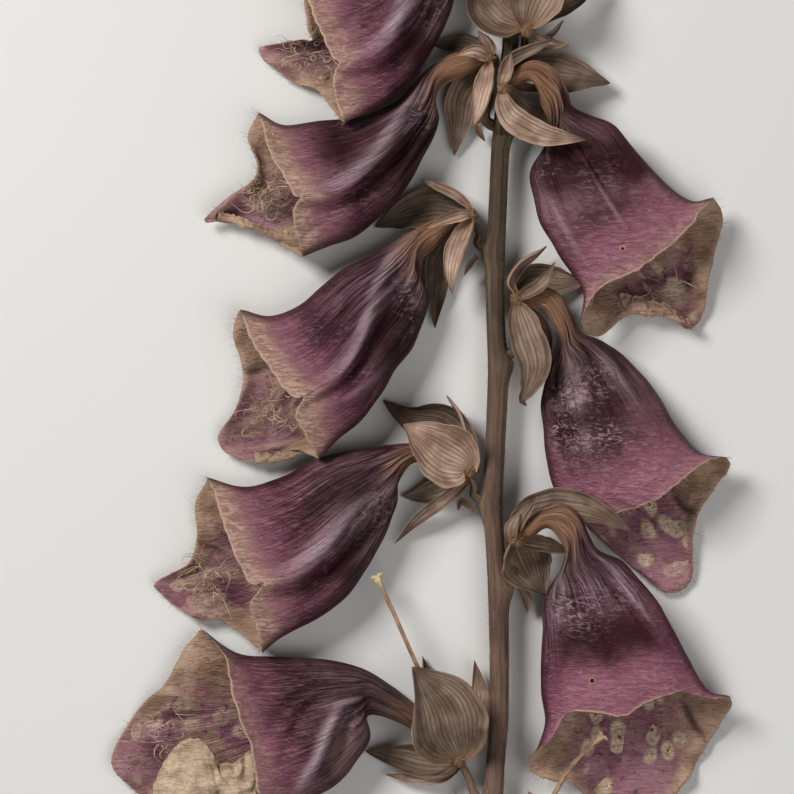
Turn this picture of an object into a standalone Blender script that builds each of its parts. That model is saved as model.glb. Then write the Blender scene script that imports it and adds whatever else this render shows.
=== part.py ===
"""A cut and dried foxglove flower spike, lying flat on a surface.

The spike's stem runs along +Y with its tip towards +Y, the flowers hang to both sides along X, and
everything rests on the plane z = 0. Outlines are written in millimetres, seen from above, with the
stem on x = 0, and each is a smooth curve through a few points. The model is built in metres.
"""

import math

import bpy
import numpy as np

MM = 0.001

STEM_HEIGHT = 4.0  # of the stem's middle above the surface, held up by the bells
BELL_WALL = 0.6
BELL_AROUND = 18
BELL_ALONG = 10
BELL_FLARE = 2.6  # power by which a wall bends from its sides to its lobed rim
BELL_ARCH = 0.6  # power of a wall's section: 0.5 is an ellipse, and more is flatter at the sides
CUP_RADIUS = 1.45  # of the small green cup that the five sepals grow from
SEPAL_THICKNESS = 0.55
BLADE_ALONG = 6
SEPAL_ROOT = 0.7  # from the cup's middle to where a sepal starts inside it
BLADE_FOOT = 0.9  # width of a sepal or bract at its root
BLADE_TIP = 0.12  # half its width at the tip
BLADE_CUP = 0.1  # how far its edges turn up, as a share of its half width
NECK_GAP = 0.4  # between the cup and what is plugged into it
PISTIL_LENGTH = 27.0

# Every flower: its cup's middle, the two sides of its bell from the neck to the corners of the
# mouth, and the rims of the upper and the lower wall from the first corner to the second.
# crest and keel are heights (position along the bell, height) of the upper and the lower wall,
# ridge is how far across the upper wall is highest, and edges are the heights of both sides at
# the mouth.
BELLS = {
    "L1": {
        "cup": (0.6, 79.6, 4.8),
        "first": [(-2, 79.6), (-7, 78.6), (-14, 75.6), (-22, 71), (-28, 69.4), (-32.5, 69)],
        "second": [(-0.2, 77.1), (-3.6, 73.4), (-6.6, 68.2), (-8.3, 62.9), (-11.6, 56.1),
                   (-16.7, 50.4), (-21.5, 47.4), (-25.4, 45.2)],
        "near": [(-32.5, 69), (-31.7, 66.2), (-30.4, 61.7), (-28, 56.4), (-26.5, 55.2),
                 (-27.4, 53.4), (-27.4, 51.3), (-26.8, 48.9), (-25.4, 45.2)],
        "far": [(-32.5, 69), (-32.1, 61.7), (-31.6, 59.2), (-35.7, 58.5), (-41.4, 57.4),
                (-38.4, 55.2), (-33.6, 52.3), (-30.4, 51.2), (-28, 48.3), (-25.4, 45.2)],
        "ridge": 0.62,
        "edges": (4.5, 9.5),
    },
    "L2": {
        "cup": (-1.2, 56.4, 5.0),
        "first": [(-3.2, 57.9), (-6.5, 57.6), (-9.5, 56.4), (-12.5, 53.8), (-15.5, 50.4),
                  (-20, 47.8), (-24, 46.6), (-29.8, 46.2), (-35.4, 45.5), (-40, 47.4)],
        "second": [(-3, 54.6), (-5, 53.7), (-8.9, 51.9), (-10.2, 49.4), (-9.8, 45.7),
                   (-12.5, 39.4), (-17, 32.6), (-22.9, 27.2), (-28, 25.1), (-32.6, 23.2)],
        "near": [(-40, 47.4), (-39, 44.5), (-38.1, 40.6), (-34.1, 33.4), (-32.7, 33.2),
                 (-34.2, 30.5), (-33.8, 27.5), (-32.6, 23.2)],
        "far": [(-40, 47.4), (-42, 43), (-41.7, 37.6), (-42.6, 35.2), (-46.4, 32.6),
                (-49.9, 29), (-45.2, 29), (-39.9, 27), (-34.5, 24.2), (-32.6, 23.2)],
        "ridge": 0.6,
        "edges": (3.0, 6.5),
    },
    "L3": {
        "cup": (-4.5, 30.1, 4.8),
        "first": [(-6.1, 31.2), (-10.3, 29.8), (-15.1, 27.1), (-20.2, 24.1), (-26.5, 20.9),
                  (-32.3, 15.8), (-37.4, 13.6), (-43, 14.3)],
        "second": [(-6.9, 28.4), (-10, 25.2), (-12.9, 22.6), (-12.4, 19.4), (-11.4, 15.8),
                   (-13.8, 9.1), (-17.6, 3.3), (-22.1, -3.4), (-26, -6.8), (-29.6, -10.4)],
        "near": [(-43, 14.3), (-41.7, 10.6), (-39.3, 6.2), (-34.3, -0.1), (-32.3, 0),
                 (-33.7, -3), (-32.4, -6), (-29.6, -10.4)],
        "far": [(-43, 14.3), (-44.4, 10), (-43.3, 4.3), (-45, -3), (-48, -8.1), (-44, -11.3),
                (-38.3, -11), (-33.9, -9), (-29.6, -10.4)],
        "ridge": 0.58,
        "edges": (4.0, 7.5),
    },
    "L4": {
        "cup": (-4.6, -12.2, 4.8),
        "first": [(-6.1, -10.1), (-10.5, -8.4), (-15.2, -7.7), (-22.6, -8.7), (-29.7, -10.2),
                  (-36, -13.4), (-42.3, -15), (-48.4, -13.4)],
        "second": [(-7.1, -13.1), (-13.4, -10.9), (-16.2, -14.2), (-16.6, -18), (-20, -25.4),
                   (-24.2, -32.3), (-30.1, -37), (-36, -40), (-39.2, -42.6)],
        "near": [(-48.4, -13.4), (-46.6, -18.5), (-44.3, -25.2), (-41.4, -30.9), (-39.2, -30.9),
                 (-41.2, -34.4), (-40.7, -37.4), (-39.2, -42.6)],
        "far": [(-48.4, -13.4), (-50.8, -18.1), (-50.6, -24.4), (-52.5, -28.1), (-58.6, -31.7),
                (-56.5, -33.8), (-51, -37.8), (-46.6, -37.8), (-39.2, -42.6)],
        "ridge": 0.6,
        "edges": (3.2, 7.5),
    },
    "L5": {
        "cup": (-6.3, -60.5, 4.8),
        "first": [(-6.9, -58), (-10, -54.6), (-15.1, -50.2), (-21.3, -45.9), (-28.2, -43.9),
                  (-36.8, -43.4), (-43.3, -42.8), (-49.5, -38.8)],
        "second": [(-8.9, -60.2), (-12, -57.2), (-15.1, -54.9), (-19.6, -53.2), (-21.8, -53.6),
                   (-21.2, -57.5), (-25.7, -63.5), (-30.5, -67), (-36, -70.5)],
        "near": [(-49.5, -38.8), (-46, -42.5), (-44.9, -46.3), (-43.3, -52.3), (-41.4, -57.9),
                 (-40.6, -62), (-39.8, -66), (-36, -70.5)],
        "far": [(-49.5, -38.8), (-52.8, -42.4), (-55.6, -47.8), (-60.1, -51.7), (-65.3, -60.5),
                (-62.5, -65.5), (-57, -68.5), (-50, -70), (-43, -71.5), (-36, -70.5)],
        "ridge": 0.62,
        "edges": (3.5, 5.5),
    },
    "R1": {
        "cup": (1.2, 51.6, 8.0),
        "keel": [(0, 6.5), (0.15, 6.1), (0.25, 4.8), (0.36, 2.2), (0.5, 0), (1, -1.5)],
        "first": [(3.7, 51.8), (5.6, 52.4), (6.8, 50.6), (7.2, 48.2), (8.4, 45.4), (7.9, 41.6),
                  (5.8, 38.4), (5.6, 35), (7.6, 28), (11.5, 21.8), (14.3, 17), (13.6, 12.3)],
        "second": [(2.1, 54), (6.2, 56), (9.9, 54.4), (11.7, 50.8), (12.4, 48.3), (15.3, 46.8),
                   (19.5, 45), (24.2, 39.6), (28.7, 35.1), (32.5, 32.7), (36.6, 32.9)],
        "near": [(13.6, 12.3), (15.2, 15.4), (17.6, 18), (22.2, 20.1), (27.3, 23.5),
                 (32.1, 28), (34.1, 31.1), (36.6, 32.9)],
        "far": [(13.6, 12.3), (14.9, 10.6), (17.4, 9.9), (22, 13), (28.7, 13.4), (33.1, 10.1),
                (35.3, 14), (36.3, 21.8), (37.9, 27.7), (37.9, 30.8), (36.6, 32.9)],
        "ridge": 0.5,
        "edges": (9.8, 5.0),
    },
    "R2": {
        "cup": (3.6, 16.3, 4.4),
        "crest": [(0, 5.9), (0.15, 5.9), (0.22, 6.2), (0.35, 8), (0.55, 10.5), (0.8, 11.5),
                  (1, 11)],
        "first": [(5.8, 14.9), (8, 14.6), (9.5, 12), (10.5, 8.4), (9.1, 5.2), (7.6, 0.5),
                  (7.8, -5), (8.8, -13), (10.5, -16.6), (14.5, -19)],
        "second": [(5.4, 18), (8.4, 18.4), (10.8, 17), (12.4, 14), (13.9, 10.9), (17.5, 9.3),
                   (21.8, 6.3), (26.7, 0.5), (30.3, -5.3), (33.9, -9.2), (38.1, -10)],
        "near": [(14.5, -19), (17.5, -19.5), (20.5, -19.6), (26.4, -17.3), (32, -13.3),
                 (35, -10.8), (38.1, -10)],
        "far": [(14.5, -19), (16.8, -23), (19.8, -26), (24.3, -30.4), (29.3, -33.7),
                (33.2, -31.8), (33.6, -24.6), (35.7, -18.4), (38.9, -12.2), (38.1, -10)],
        "ridge": 0.66,
        "edges": (2.6, 5.5),
    },
    "R3": {
        "cup": (3.2, -23.5, 10.2),
        "crest": [(0, 11.7), (0.12, 12), (0.25, 11.6), (0.45, 12), (0.8, 12.6), (1, 11.8)],
        "keel": [(0, 8.8), (0.2, 8.6), (0.3, 6), (0.42, 2.4), (0.55, 0), (1, -1.5)],
        "first": [(5.8, -23.3), (8, -21.8), (9.6, -22.6), (11.1, -25.6), (10.6, -28.4),
                  (7.9, -33), (7.3, -38), (7.1, -46.6), (7.9, -54), (7, -58), (5.2, -60)],
        "second": [(4.1, -21.1), (7.5, -18.6), (10.8, -17.6), (13.6, -19.2), (15.2, -22.5),
                   (17, -25.4), (21.2, -27.7), (27.1, -34.6), (31.9, -43.2), (35, -48.7),
                   (38.9, -49.9)],
        "near": [(5.2, -60), (8.4, -57.6), (10.2, -53.8), (12.5, -52.2), (17.1, -52.5),
                 (21.2, -53), (26, -50.4), (31.5, -48.9), (35.6, -50.2), (38.9, -49.9)],
        "far": [(5.2, -60), (5.7, -62.8), (9.2, -64.7), (13, -65.5), (17.5, -69.5),
                (23.5, -72), (29.5, -70), (32.4, -65.5), (34.3, -60.4), (37.1, -55.9),
                (39.4, -52), (38.9, -49.9)],
        "ridge": 0.5,
        "edges": (6.0, 6.0),
    },
}

# Two calyces without a bell, each with its cup's middle.
BARE_CUPS = {"R0": (5.0, 61.2, 6.8), "R4": (5.2, -77.0, 4.6)}

# Sepals: (midrib from the cup to the tip, greatest width, roll about the midrib in degrees).
SEPALS = {
    "L1": [
        ([(-0.2, 80.4, 3.4), (-4, 84.2, 2.0), (-8, 85.8, 1.5), (-12.9, 85.2, 1.3)], 6.4, 0),
        ([(-0.2, 80.2, 6.6), (-4.6, 81.2, 8.6), (-9, 79.2, 10.4), (-12.9, 76, 11.8)], 6.2, 0),
        ([(0.4, 78.6, 3.2), (0.4, 75, 1.9), (-1.4, 70.5, 1.3), (-3.2, 66.5, 1.1)], 5.0, 0),
        ([(1.2, 78.6, 6.0), (2.4, 75.4, 8.6), (3.2, 71, 8.8)], 3.2, 40),
        ([(0.8, 80.8, 5.6), (0.8, 84.6, 5.8), (-0.6, 89.5, 5.2)], 2.4, 50),
    ],
    "L2": [
        ([(-2, 57.2, 3.0), (-5, 59, 2.2), (-10.5, 58.9, 1.6)], 3.2, 0),
        ([(-1.2, 57.4, 5.6), (-2, 59.2, 6.8), (-3.2, 61, 7.2)], 2.2, 0),
        ([(-1.6, 55.4, 2.8), (-5.4, 50.6, 1.7), (-6.2, 46, 1.3), (-7.1, 40.5, 1.1)], 5.6, 0),
        ([(-1.2, 55.4, 6), (-1.8, 52, 7.8), (-2.6, 48.6, 8.3), (-4, 45, 8)], 3.4, 35),
        ([(-2, 56.8, 6.4), (-4, 57.4, 8), (-6.8, 56.6, 8.8)], 2.2, 0),
    ],
    "L3": [
        ([(-4.9, 31, 2.7), (-10, 31.8, 1.6), (-15, 30.8, 0.9), (-20.4, 28.5, 0.7)], 6.6, 0),
        ([(-4.8, 31.2, 5), (-7.6, 33.8, 4.6), (-12.6, 36.4, 3.2)], 1.9, 30),
        ([(-4.7, 29.2, 2.7), (-9, 23.6, 1.5), (-9.9, 18, 1.2), (-10.3, 11.6, 1)], 4.8, 0),
        ([(-4.6, 29, 6), (-6.6, 25, 7.4), (-7.5, 21, 7.6), (-7.5, 17, 7.2)], 3.4, 25),
        ([(-5.2, 30.4, 6.2), (-8.4, 29.6, 7.9), (-11.6, 28, 8.8)], 2.0, 0),
    ],
    "L4": [
        ([(-4.8, -11.4, 6.3), (-8.4, -9.6, 9.2), (-12, -7, 10.6), (-15.6, -4.5, 10.6)], 9.4, 0),
        ([(-3.9, -11.2, 2.6), (-8.6, -5.2, 1.7), (-14, -3.6, 1.3), (-19, -0.5, 1)], 6.8, 0),
        ([(-4.2, -11, 5), (-4.4, -7.4, 5.4), (-5.8, -3.8, 5.4), (-8.4, 0.2, 4.8)], 1.9, 60),
        ([(-4.9, -13.2, 2.7), (-9.6, -15.4, 1.5), (-13, -16.4, 1), (-16, -16.6, 0.7)], 4.2, 0),
        ([(-4.8, -13.6, 4.4), (-9, -17.4, 3.4), (-13.4, -20.8, 2.4), (-17.1, -24.6, 1.2)], 2, 0),
    ],
    "L5": [
        ([(-6.4, -59.6, 6.3), (-7.6, -56, 9.4), (-9.2, -51, 10.8), (-14.2, -44.8, 10)], 11.4, 0),
        ([(-5.6, -59.6, 4.4), (-3.6, -55.6, 3.6), (-2.8, -50.4, 3), (-3.7, -44.1, 2.2)], 3.6, 0),
        ([(-7, -61.4, 3.4), (-11.5, -61.3, 2), (-17, -60, 1.2), (-22, -59.2, 0.8)], 5.4, 0),
        ([(-6.2, -61.4, 3.6), (-9.4, -63.6, 2.6), (-14, -64, 1.8), (-18.6, -63.4, 1.2)], 2, 0),
        ([(-6, -59.4, 2.6), (-8.0, -53, 1.7), (-11, -47.6, 1.3), (-12.4, -43.4, 1)], 4.0, 0),
    ],
    "R0": [
        ([(3.8, 61.8, 7.2), (0.6, 63.2, 6.8), (-1.8, 66.6, 5.2), (-2.8, 72.6, 4.6)], 8.4, 8),
        ([(5.2, 62.2, 8), (6.2, 65.6, 9.6), (8, 69.5, 9.6), (10.8, 75, 8.4)], 8.6, 0),
        ([(5.8, 61.8, 6), (9, 64.4, 5), (13.4, 66.6, 4.6), (18, 70, 4.4)], 3.4, 0),
        ([(5, 62.2, 6), (4.8, 67, 6.6), (4.2, 71.6, 7.2), (3.2, 77, 7.6)], 2.6, 0),
        ([(5.6, 60.6, 6.6), (8.6, 58.8, 6.2), (12, 58.6, 6)], 2.0, 0),
    ],
    "R1": [
        ([(1, 50.6, 8.4), (2.6, 46.6, 11), (7.4, 43.8, 12), (14.6, 42.5, 11.6)], 4.4, 25),
        ([(0.5, 52.8, 7.2), (1.8, 55.8, 7), (5, 57.8, 6.9), (9.7, 59.7, 7.4)], 2.0, 25),
        ([(2.2, 52.2, 6.3), (5, 53.4, 4.7), (8, 54, 3.8), (12.4, 53.6, 3.2), (19, 52.5, 3.2)], 7.4, 0),
        ([(2.2, 51, 6.6), (4.6, 48, 3.8), (8.4, 46.6, 1.9), (12.6, 45.4, 0.9)], 3.2, 0),
        ([(0.9, 52.2, 9), (1.6, 54.4, 9.8), (2.2, 57.2, 10.2)], 2.0, 0),
    ],
    "R2": [
        ([(3, 17.2, 4.6), (2.2, 19.4, 4.6), (4.6, 22.8, 4.2), (8.3, 25.2, 3.6)], 1.8, 40),
        ([(3.8, 17.4, 3.2), (5.8, 19.6, 2), (10.6, 19.4, 1), (15.4, 19.6, 0.8)], 5.6, 0),
        ([(3.4, 15, 5.6), (4.4, 10.6, 7.4), (5.6, 4.6, 7.8), (4, -2.2, 5.6)], 5.2, 0),
        ([(4, 15, 3.2), (7, 11.6, 1.6), (7.6, 7.8, 1.1), (5.6, 2.2, 0.9)], 3.4, 0),
        ([(4.4, 17, 5.8), (7.4, 19, 7), (9.6, 22.4, 6.8)], 2.0, 0),
    ],
    "R3": [
        ([(2.6, -22.5, 8.6), (6.6, -18.5, 7.6), (14, -18.3, 7.6), (22.4, -22.3, 7.9)], 5.4, 0),
        ([(4.8, -24.2, 8.8), (5.9, -26, 6.4), (6.7, -29, 4.8), (8, -32.6, 3.6)], 7.2, 0),
        ([(4.6, -23.9, 9.2), (8.6, -24.6, 7.6), (12.4, -25.8, 6.8)], 2.6, 0),
        ([(2.8, -22.6, 10.8), (3.6, -19.8, 11.6), (6.6, -16.4, 11.4)], 2.6, 0),
        ([(2.4, -23.2, 11.2), (2.2, -21.4, 12.2), (3.4, -19, 12.5)], 2.0, 0),
    ],
    "R4": [
        ([(5.2, -75.8, 6.0), (7.2, -72, 8.4), (7.6, -68.6, 9), (5, -65.4, 9.2)], 4.4, 0),
        ([(6, -77.2, 3.4), (10.5, -78.2, 2), (15.4, -77.4, 1.4), (19.6, -75.2, 1)], 7.0, 0),
        ([(6, -76.6, 3.8), (11.4, -74, 4), (15.4, -73.6, 4), (19.8, -74, 3.4)], 3.0, 0),
        ([(5.6, -78, 4.0), (8.6, -82.6, 2.4), (12.4, -85.4, 1.6), (16, -86.4, 1.2)], 5.6, 0),
        ([(4.8, -76, 3.6), (4.6, -72.4, 3), (5, -69, 2.4)], 3.2, 0),
    ],
}

# The stem's middle line and half width, and its joints where a flower stalk leaves it.
STEM_LINE = [(-0.9, -90), (-0.4, -65), (0.4, -52), (0.1, -32), (-0.6, -18), (-0.3, -8), (0.1, 4),
             (-0.3, 18), (0.2, 34), (0.7, 44), (1.9, 55), (3.4, 72), (4.8, 88), (5.6, 100),
             (5.4, 109)]
STEM_RADIUS = [(-90, 1.5), (-50, 1.55), (-10, 1.6), (30, 1.5), (60, 1.35), (85, 1.0), (109, 0.4)]
STEM_JOINTS = [(-83, 1), (-68, -1), (-32, 1), (-18.2, -1), (5.5, 1), (24.4, -1), (45, 1), (72, -1)]
JOINT_SWELL = 0.45
JOINT_REACH = 2.4
STEM_SIDES = 12
STEM_STEP = 4.0

# Flower stalks, from just clear of the stem towards the cup, and their radius.
STALK_RADIUS = 0.6
STALKS = {
    "L1": [(0.2, 72.6, 4.0), (1.1, 75.4, 4.2)],
    "L2": [(-1.9, 46.4, 4.6), (-1.2, 50.4, 5.0)],
    "L3": [(-3.1, 25.6, 4.4), (-2.9, 27.4, 4.6)],
    "L4": [(-3.7, -16.5, 4.3), (-3.8, -15, 4.5)],
    "L5": [(-3.4, -66.8, 4.3), (-4.6, -63.8, 4.5)],
    "R0": [(4.2, 54.6, 3.0), (4.5, 57.4, 3.4)],
    "R1": [(0.6, 45.6, 6.7), (0.8, 48, 7.0)],
    "R2": [(3.7, 8.2, 4.2), (3.4, 12, 4.3)],
    "R3": [(3.0, -29.2, 4.6), (1.7, -27.1, 6.0)],
    "R4": [(2.9, -82.4, 4.3), (4.2, -80.2, 4.4)],
}

# Pistils that have come out of their bell, from the cup to the stigma.
LOOSE_PISTILS = {
    "L5": [(-7.4, -58.2, 6.5), (-9.8, -52.4, 8.2), (-14.3, -42.4, 8.2), (-19.9, -30.1, 6.6)],
    "R4": [(6.2, -75, 4.9), (8.4, -68.6, 5.4), (12.6, -61.4, 5.6), (17.4, -56.6, 5.4)],
    "R0": [(6.2, 63, 6.8), (9, 68.4, 7.2), (12.2, 73.8, 6.8), (15.4, 80.4, 6.2)],
}

# Small bracts at the foot of some flower stalks: midrib, width and roll, as for a sepal.
BRACTS = {
    "L2": ([(-3.1, 45.9, 3.2), (-2.9, 44.4, 2.6), (-1.9, 42.8, 2.2)], 0.9, 0),
    "L3": ([(-3.3, 23.6, 3.4), (-4.4, 22.4, 3), (-5.4, 20.4, 2.6)], 0.9, 0),
    "L4": ([(-3.7, -18.8, 3.2), (-5.9, -17.4, 3), (-6.5, -19, 2.6)], 1.1, 0),
    "L5": ([(-3.4, -68.6, 3), (-5.4, -68.2, 2.4), (-7, -66.4, 2)], 1.3, 0),
    "R0": ([(6.6, 59, 4.4), (9.4, 60.8, 4.4), (11.2, 63, 4)], 0.9, 0),
    "R3": ([(3.9, -31.8, 3.4), (5, -33.6, 2.8), (5.2, -36, 2.2)], 1.4, 0),
}

# Closed buds at the tip: foot of the stalk, middle and tip of the bud, and greatest radius.
BUDS = [
    ([(2.3, 84.2, 4), (-1, 90.6, 3.2), (-4.4, 93.6, 3)], 2.2),
    ([(6.5, 86.6, 4), (9.6, 91, 3.2), (13.4, 92.6, 2.8)], 2.1),
    ([(3.6, 92.4, 3.8), (1, 97, 3), (-1.6, 99.4, 2.6)], 1.7),
    ([(7, 96, 3.8), (9.6, 99.2, 3), (12.4, 100.4, 2.4)], 1.6),
    ([(4.4, 100.4, 3.6), (2.8, 103.6, 3), (1.2, 105.8, 2.4)], 1.2),
    ([(6.6, 103.6, 3.6), (8, 106.2, 3), (9.4, 107.8, 2.4)], 1.1),
]

COLOURS = {
    "bell": ("#6b414e", 0.72),
    "sepal": ("#8a6f5c", 0.8),
    "stem": ("#57463a", 0.85),
    "pistil": ("#8f7358", 0.7),
    "bud": ("#6f5c4c", 0.8),
}


def clear_scene():
    for old in list(bpy.data.objects):
        bpy.data.objects.remove(old, do_unlink=True)


def finish(kind):
    """The material of one kind of piece, made on first use."""
    if kind in bpy.data.materials:
        return bpy.data.materials[kind]
    text, roughness = COLOURS[kind]
    channels = [int(text[i : i + 2], 16) / 255 for i in (1, 3, 5)]
    linear = [((c + 0.055) / 1.055) ** 2.4 if c > 0.04045 else c / 12.92 for c in channels]
    material = bpy.data.materials.new(kind)
    material.use_nodes = True
    shader = material.node_tree.nodes["Principled BSDF"]
    shader.inputs["Base Color"].default_value = (*linear, 1.0)
    shader.inputs["Roughness"].default_value = roughness
    return material


def curve(points, places):
    """Catmull-Rom curve through points, read at places from 0 to 1 of its length."""
    points = np.asarray(points, float)
    ends = np.vstack([2 * points[0] - points[1], points, 2 * points[-1] - points[-2]])
    u = np.linspace(0, 1, 24, endpoint=False)[:, None]
    spans = []
    for a, b, c, d in zip(ends, ends[1:], ends[2:], ends[3:]):
        spans.append(0.5 * (2 * b + (c - a) * u + (2 * a - 5 * b + 4 * c - d) * u**2
                            + (3 * b - a - 3 * c + d) * u**3))
    dense = np.vstack([*spans, points[-1:]])
    length = np.r_[0, np.cumsum(np.linalg.norm(np.diff(dense, axis=0), axis=1))]
    places = np.asarray(places) * length[-1]
    return np.stack([np.interp(places, length, dense[:, k]) for k in range(dense.shape[1])], -1)


def solid(name, rings, kind, ring_closed=False):
    """One closed mesh from a stack of rings in millimetres.

    With ring_closed the last ring joins the first, which is how a wall turns back into itself;
    otherwise both ends get a flat cap.
    """
    stack, around = rings.shape[:2]
    rows = stack if ring_closed else stack - 1
    index = np.arange(stack * around).reshape(stack, around)
    faces = [
        (index[i, j], index[i, (j + 1) % around],
         index[(i + 1) % stack, (j + 1) % around], index[(i + 1) % stack, j])
        for i in range(rows) for j in range(around)
    ]
    if not ring_closed:
        faces += [tuple(index[0, ::-1]), tuple(index[-1])]
    mesh = bpy.data.meshes.new(name)
    mesh.from_pydata((rings.reshape(-1, 3) * MM).tolist(), [], [tuple(map(int, f)) for f in faces])
    corners = np.array([[*f[:3]] for f in faces] + [[f[0], f[2], f[3]] for f in faces if len(f) == 4])
    flat = rings.reshape(-1, 3)
    if np.linalg.det(flat[corners] - flat.mean(0)).sum() < 0:
        mesh.flip_normals()
    mesh.validate()
    mesh.shade_smooth()
    mesh.set_sharp_from_angle(angle=math.radians(50))
    mesh.materials.append(finish(kind))
    obj = bpy.data.objects.new(name, mesh)
    bpy.context.scene.collection.objects.link(obj)
    return obj


def tube(name, path, radii, kind, sides=8, along=8):
    """Round rod along a smooth path; radii are (place, radius) pairs."""
    places = np.linspace(0, 1, along)
    middle = curve(path, places)
    tangent = np.gradient(middle, axis=0)
    tangent /= np.linalg.norm(tangent, axis=1, keepdims=True)
    side = np.cross(tangent, (0.0, 0.0, 1.0))
    side /= np.linalg.norm(side, axis=1, keepdims=True)
    up = np.cross(side, tangent)
    radius = np.interp(places, *np.transpose(radii))[:, None, None]
    turn = np.linspace(0, 2 * math.pi, sides, endpoint=False)[None, :, None]
    rings = middle[:, None] + radius * (np.cos(turn) * side[:, None] + np.sin(turn) * up[:, None])
    return solid(name, rings, kind)


def blade(name, midrib, width, roll):
    """Pointed leaf-like blade: a six-sided section, cupped up at its edges, along its midrib."""
    places = np.linspace(0, 1, BLADE_ALONG)
    middle = curve(midrib, places)
    tangent = np.gradient(middle, axis=0)
    tangent /= np.linalg.norm(tangent, axis=1, keepdims=True)
    side = np.cross((0.0, 0.0, 1.0), tangent)
    side /= np.linalg.norm(side, axis=1, keepdims=True)
    up = np.cross(tangent, side)
    angle = math.radians(roll)
    side, up = (side * math.cos(angle) + up * math.sin(angle),
                up * math.cos(angle) - side * math.sin(angle))
    belly = np.sin(math.pi * places**0.8) ** 0.85
    half = 0.5 * np.maximum(width * belly, BLADE_FOOT * (1 - places) ** 1.5) + BLADE_TIP
    across = np.array([-1.0, -0.45, 0.45, 1.0, 0.45, -0.45])
    lift = np.array([0.0, 0.5, 0.5, 0.0, -0.5, -0.5]) * SEPAL_THICKNESS
    cupped = BLADE_CUP * half[:, None] * (across**2 - 0.4)
    rings = (middle[:, None] + (half[:, None] * across)[..., None] * side[:, None]
             + (cupped + lift * np.minimum(1, half[:, None] * 2))[..., None] * up[:, None])
    return solid(name, rings, "sepal")


def bell_surface(flower, inset, t, phi):
    """Points of the bell's wall for places t along and angles phi around it.

    The bell is a flattened tube. Its two sides are the flower's outlines, pushed inwards by
    inset. The upper wall spans them as an arch that is highest at the ridge, the lower wall as a
    trough that lies flat on the surface, and towards the mouth both bend to their own rims.
    """
    sides = np.stack([curve(flower[key], t) for key in ("first", "second")])
    inward = sides[1] - sides[0]
    inward /= np.linalg.norm(inward, axis=1, keepdims=True)
    sides = sides + np.stack([inward, -inward]) * inset
    s = (1 - np.cos(phi)) / 2
    upper = np.sin(phi) >= 0
    chord = np.stack([curve(flower[key], [0, 1]) for key in ("near", "far")])
    rims = np.where(upper[:, None], curve(flower["near"], s), curve(flower["far"], s))
    rims = rims - (chord[0, 0] * (1 - s[:, None]) + chord[0, 1] * s[:, None])
    plane = (sides[0][:, None] * (1 - s[:, None]) + sides[1][:, None] * s[:, None]
             + (t[:, None] ** BELL_FLARE)[..., None] * rims)
    height = flower["cup"][2]
    edge_a = np.interp(t, (0, 0.5, 1), (height, height - 0.5, flower["edges"][0]))
    edge_b = np.interp(t, (0, 0.5, 1), (height, height + 0.5, flower["edges"][1]))
    edge = edge_a[:, None] * (1 - s) + edge_b[:, None] * s
    crest = np.interp(t, *np.transpose(flower["crest"]))[:, None] - inset
    keel = np.interp(t, *np.transpose(flower["keel"]))[:, None] + inset
    warp = s ** (math.log(0.5) / math.log(flower["ridge"]))
    arch = (4 * warp * (1 - warp)) ** BELL_ARCH
    trough = (4 * s * (1 - s)) ** BELL_ARCH
    z = np.where(upper, edge + (crest - edge) * arch, edge + (keel - edge) * trough)
    return np.dstack([plane, np.maximum(z, inset)])


def bell(key, flower):
    """The petal tube: an outer and an inner skin that meet at the rim and round the neck."""
    t = np.linspace(0, 1, BELL_ALONG)
    phi = np.linspace(0, 2 * math.pi, BELL_AROUND, endpoint=False)
    outer = bell_surface(flower, 0.0, t, phi)
    inner = bell_surface(flower, BELL_WALL, t, phi)
    return solid(f"corolla_{key}", np.concatenate([outer, inner[::-1]]), "bell", ring_closed=True)


def calyx(key, cup):
    """The cup with its five sepals, grown together as one piece.

    A sepal starts inside the cup and leaves it towards the first point of its midrib.
    """
    turn = np.linspace(0, 2 * math.pi, 8, endpoint=False)[None, :]
    rise = np.linspace(0.2, math.pi - 0.2, 5)[:, None]
    ball = np.stack([np.sin(rise) * np.cos(turn), np.sin(rise) * np.sin(turn),
                     np.cos(rise) + 0 * turn], -1) * CUP_RADIUS + np.array(cup)
    whole = solid(f"calyx_{key}", ball, "sepal")
    parts = []
    for number, (midrib, width, roll) in enumerate(SEPALS[key]):
        out = np.subtract(midrib[0], cup) / np.linalg.norm(np.subtract(midrib[0], cup))
        root = [cup + out * SEPAL_ROOT, cup + out * (CUP_RADIUS + 0.2)]
        parts.append(blade(f"sepal_{key}_{number}", [*root, *midrib[1:]], width, roll))
    for part in parts:
        join = whole.modifiers.new(part.name, "BOOLEAN")
        join.operation = "UNION"
        join.object = part
    graph = bpy.context.evaluated_depsgraph_get()
    joined = bpy.data.meshes.new_from_object(whole.evaluated_get(graph))
    whole.modifiers.clear()
    whole.data = joined
    for part in parts:
        bpy.data.objects.remove(part, do_unlink=True)
    return whole


def stem():
    """The stem, swollen towards the side of each joint where a flower stalk leaves it."""
    foot, tip = STEM_LINE[0][1], STEM_LINE[-1][1]
    y = np.linspace(foot, tip, int((tip - foot) / STEM_STEP))
    y = np.unique(np.r_[y, [joint[0] for joint in STEM_JOINTS]])
    line = np.array(STEM_LINE)
    dense = curve(line, np.linspace(0, 1, 400))
    x = np.interp(y, dense[:, 1], dense[:, 0])
    radius = np.interp(y, *np.transpose(STEM_RADIUS))
    width = radius.copy()
    for place, side in STEM_JOINTS:
        swell = JOINT_SWELL * np.exp(-(((y - place) / JOINT_REACH) ** 2))
        x += side * swell
        width += swell
    turn = np.linspace(0, 2 * math.pi, STEM_SIDES, endpoint=False)
    rings = np.stack([
        x[:, None] + width[:, None] * np.cos(turn),
        y[:, None] + 0 * turn,
        STEM_HEIGHT + radius[:, None] * np.sin(turn),
    ], -1)
    return solid("stem", rings, "stem")


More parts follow.
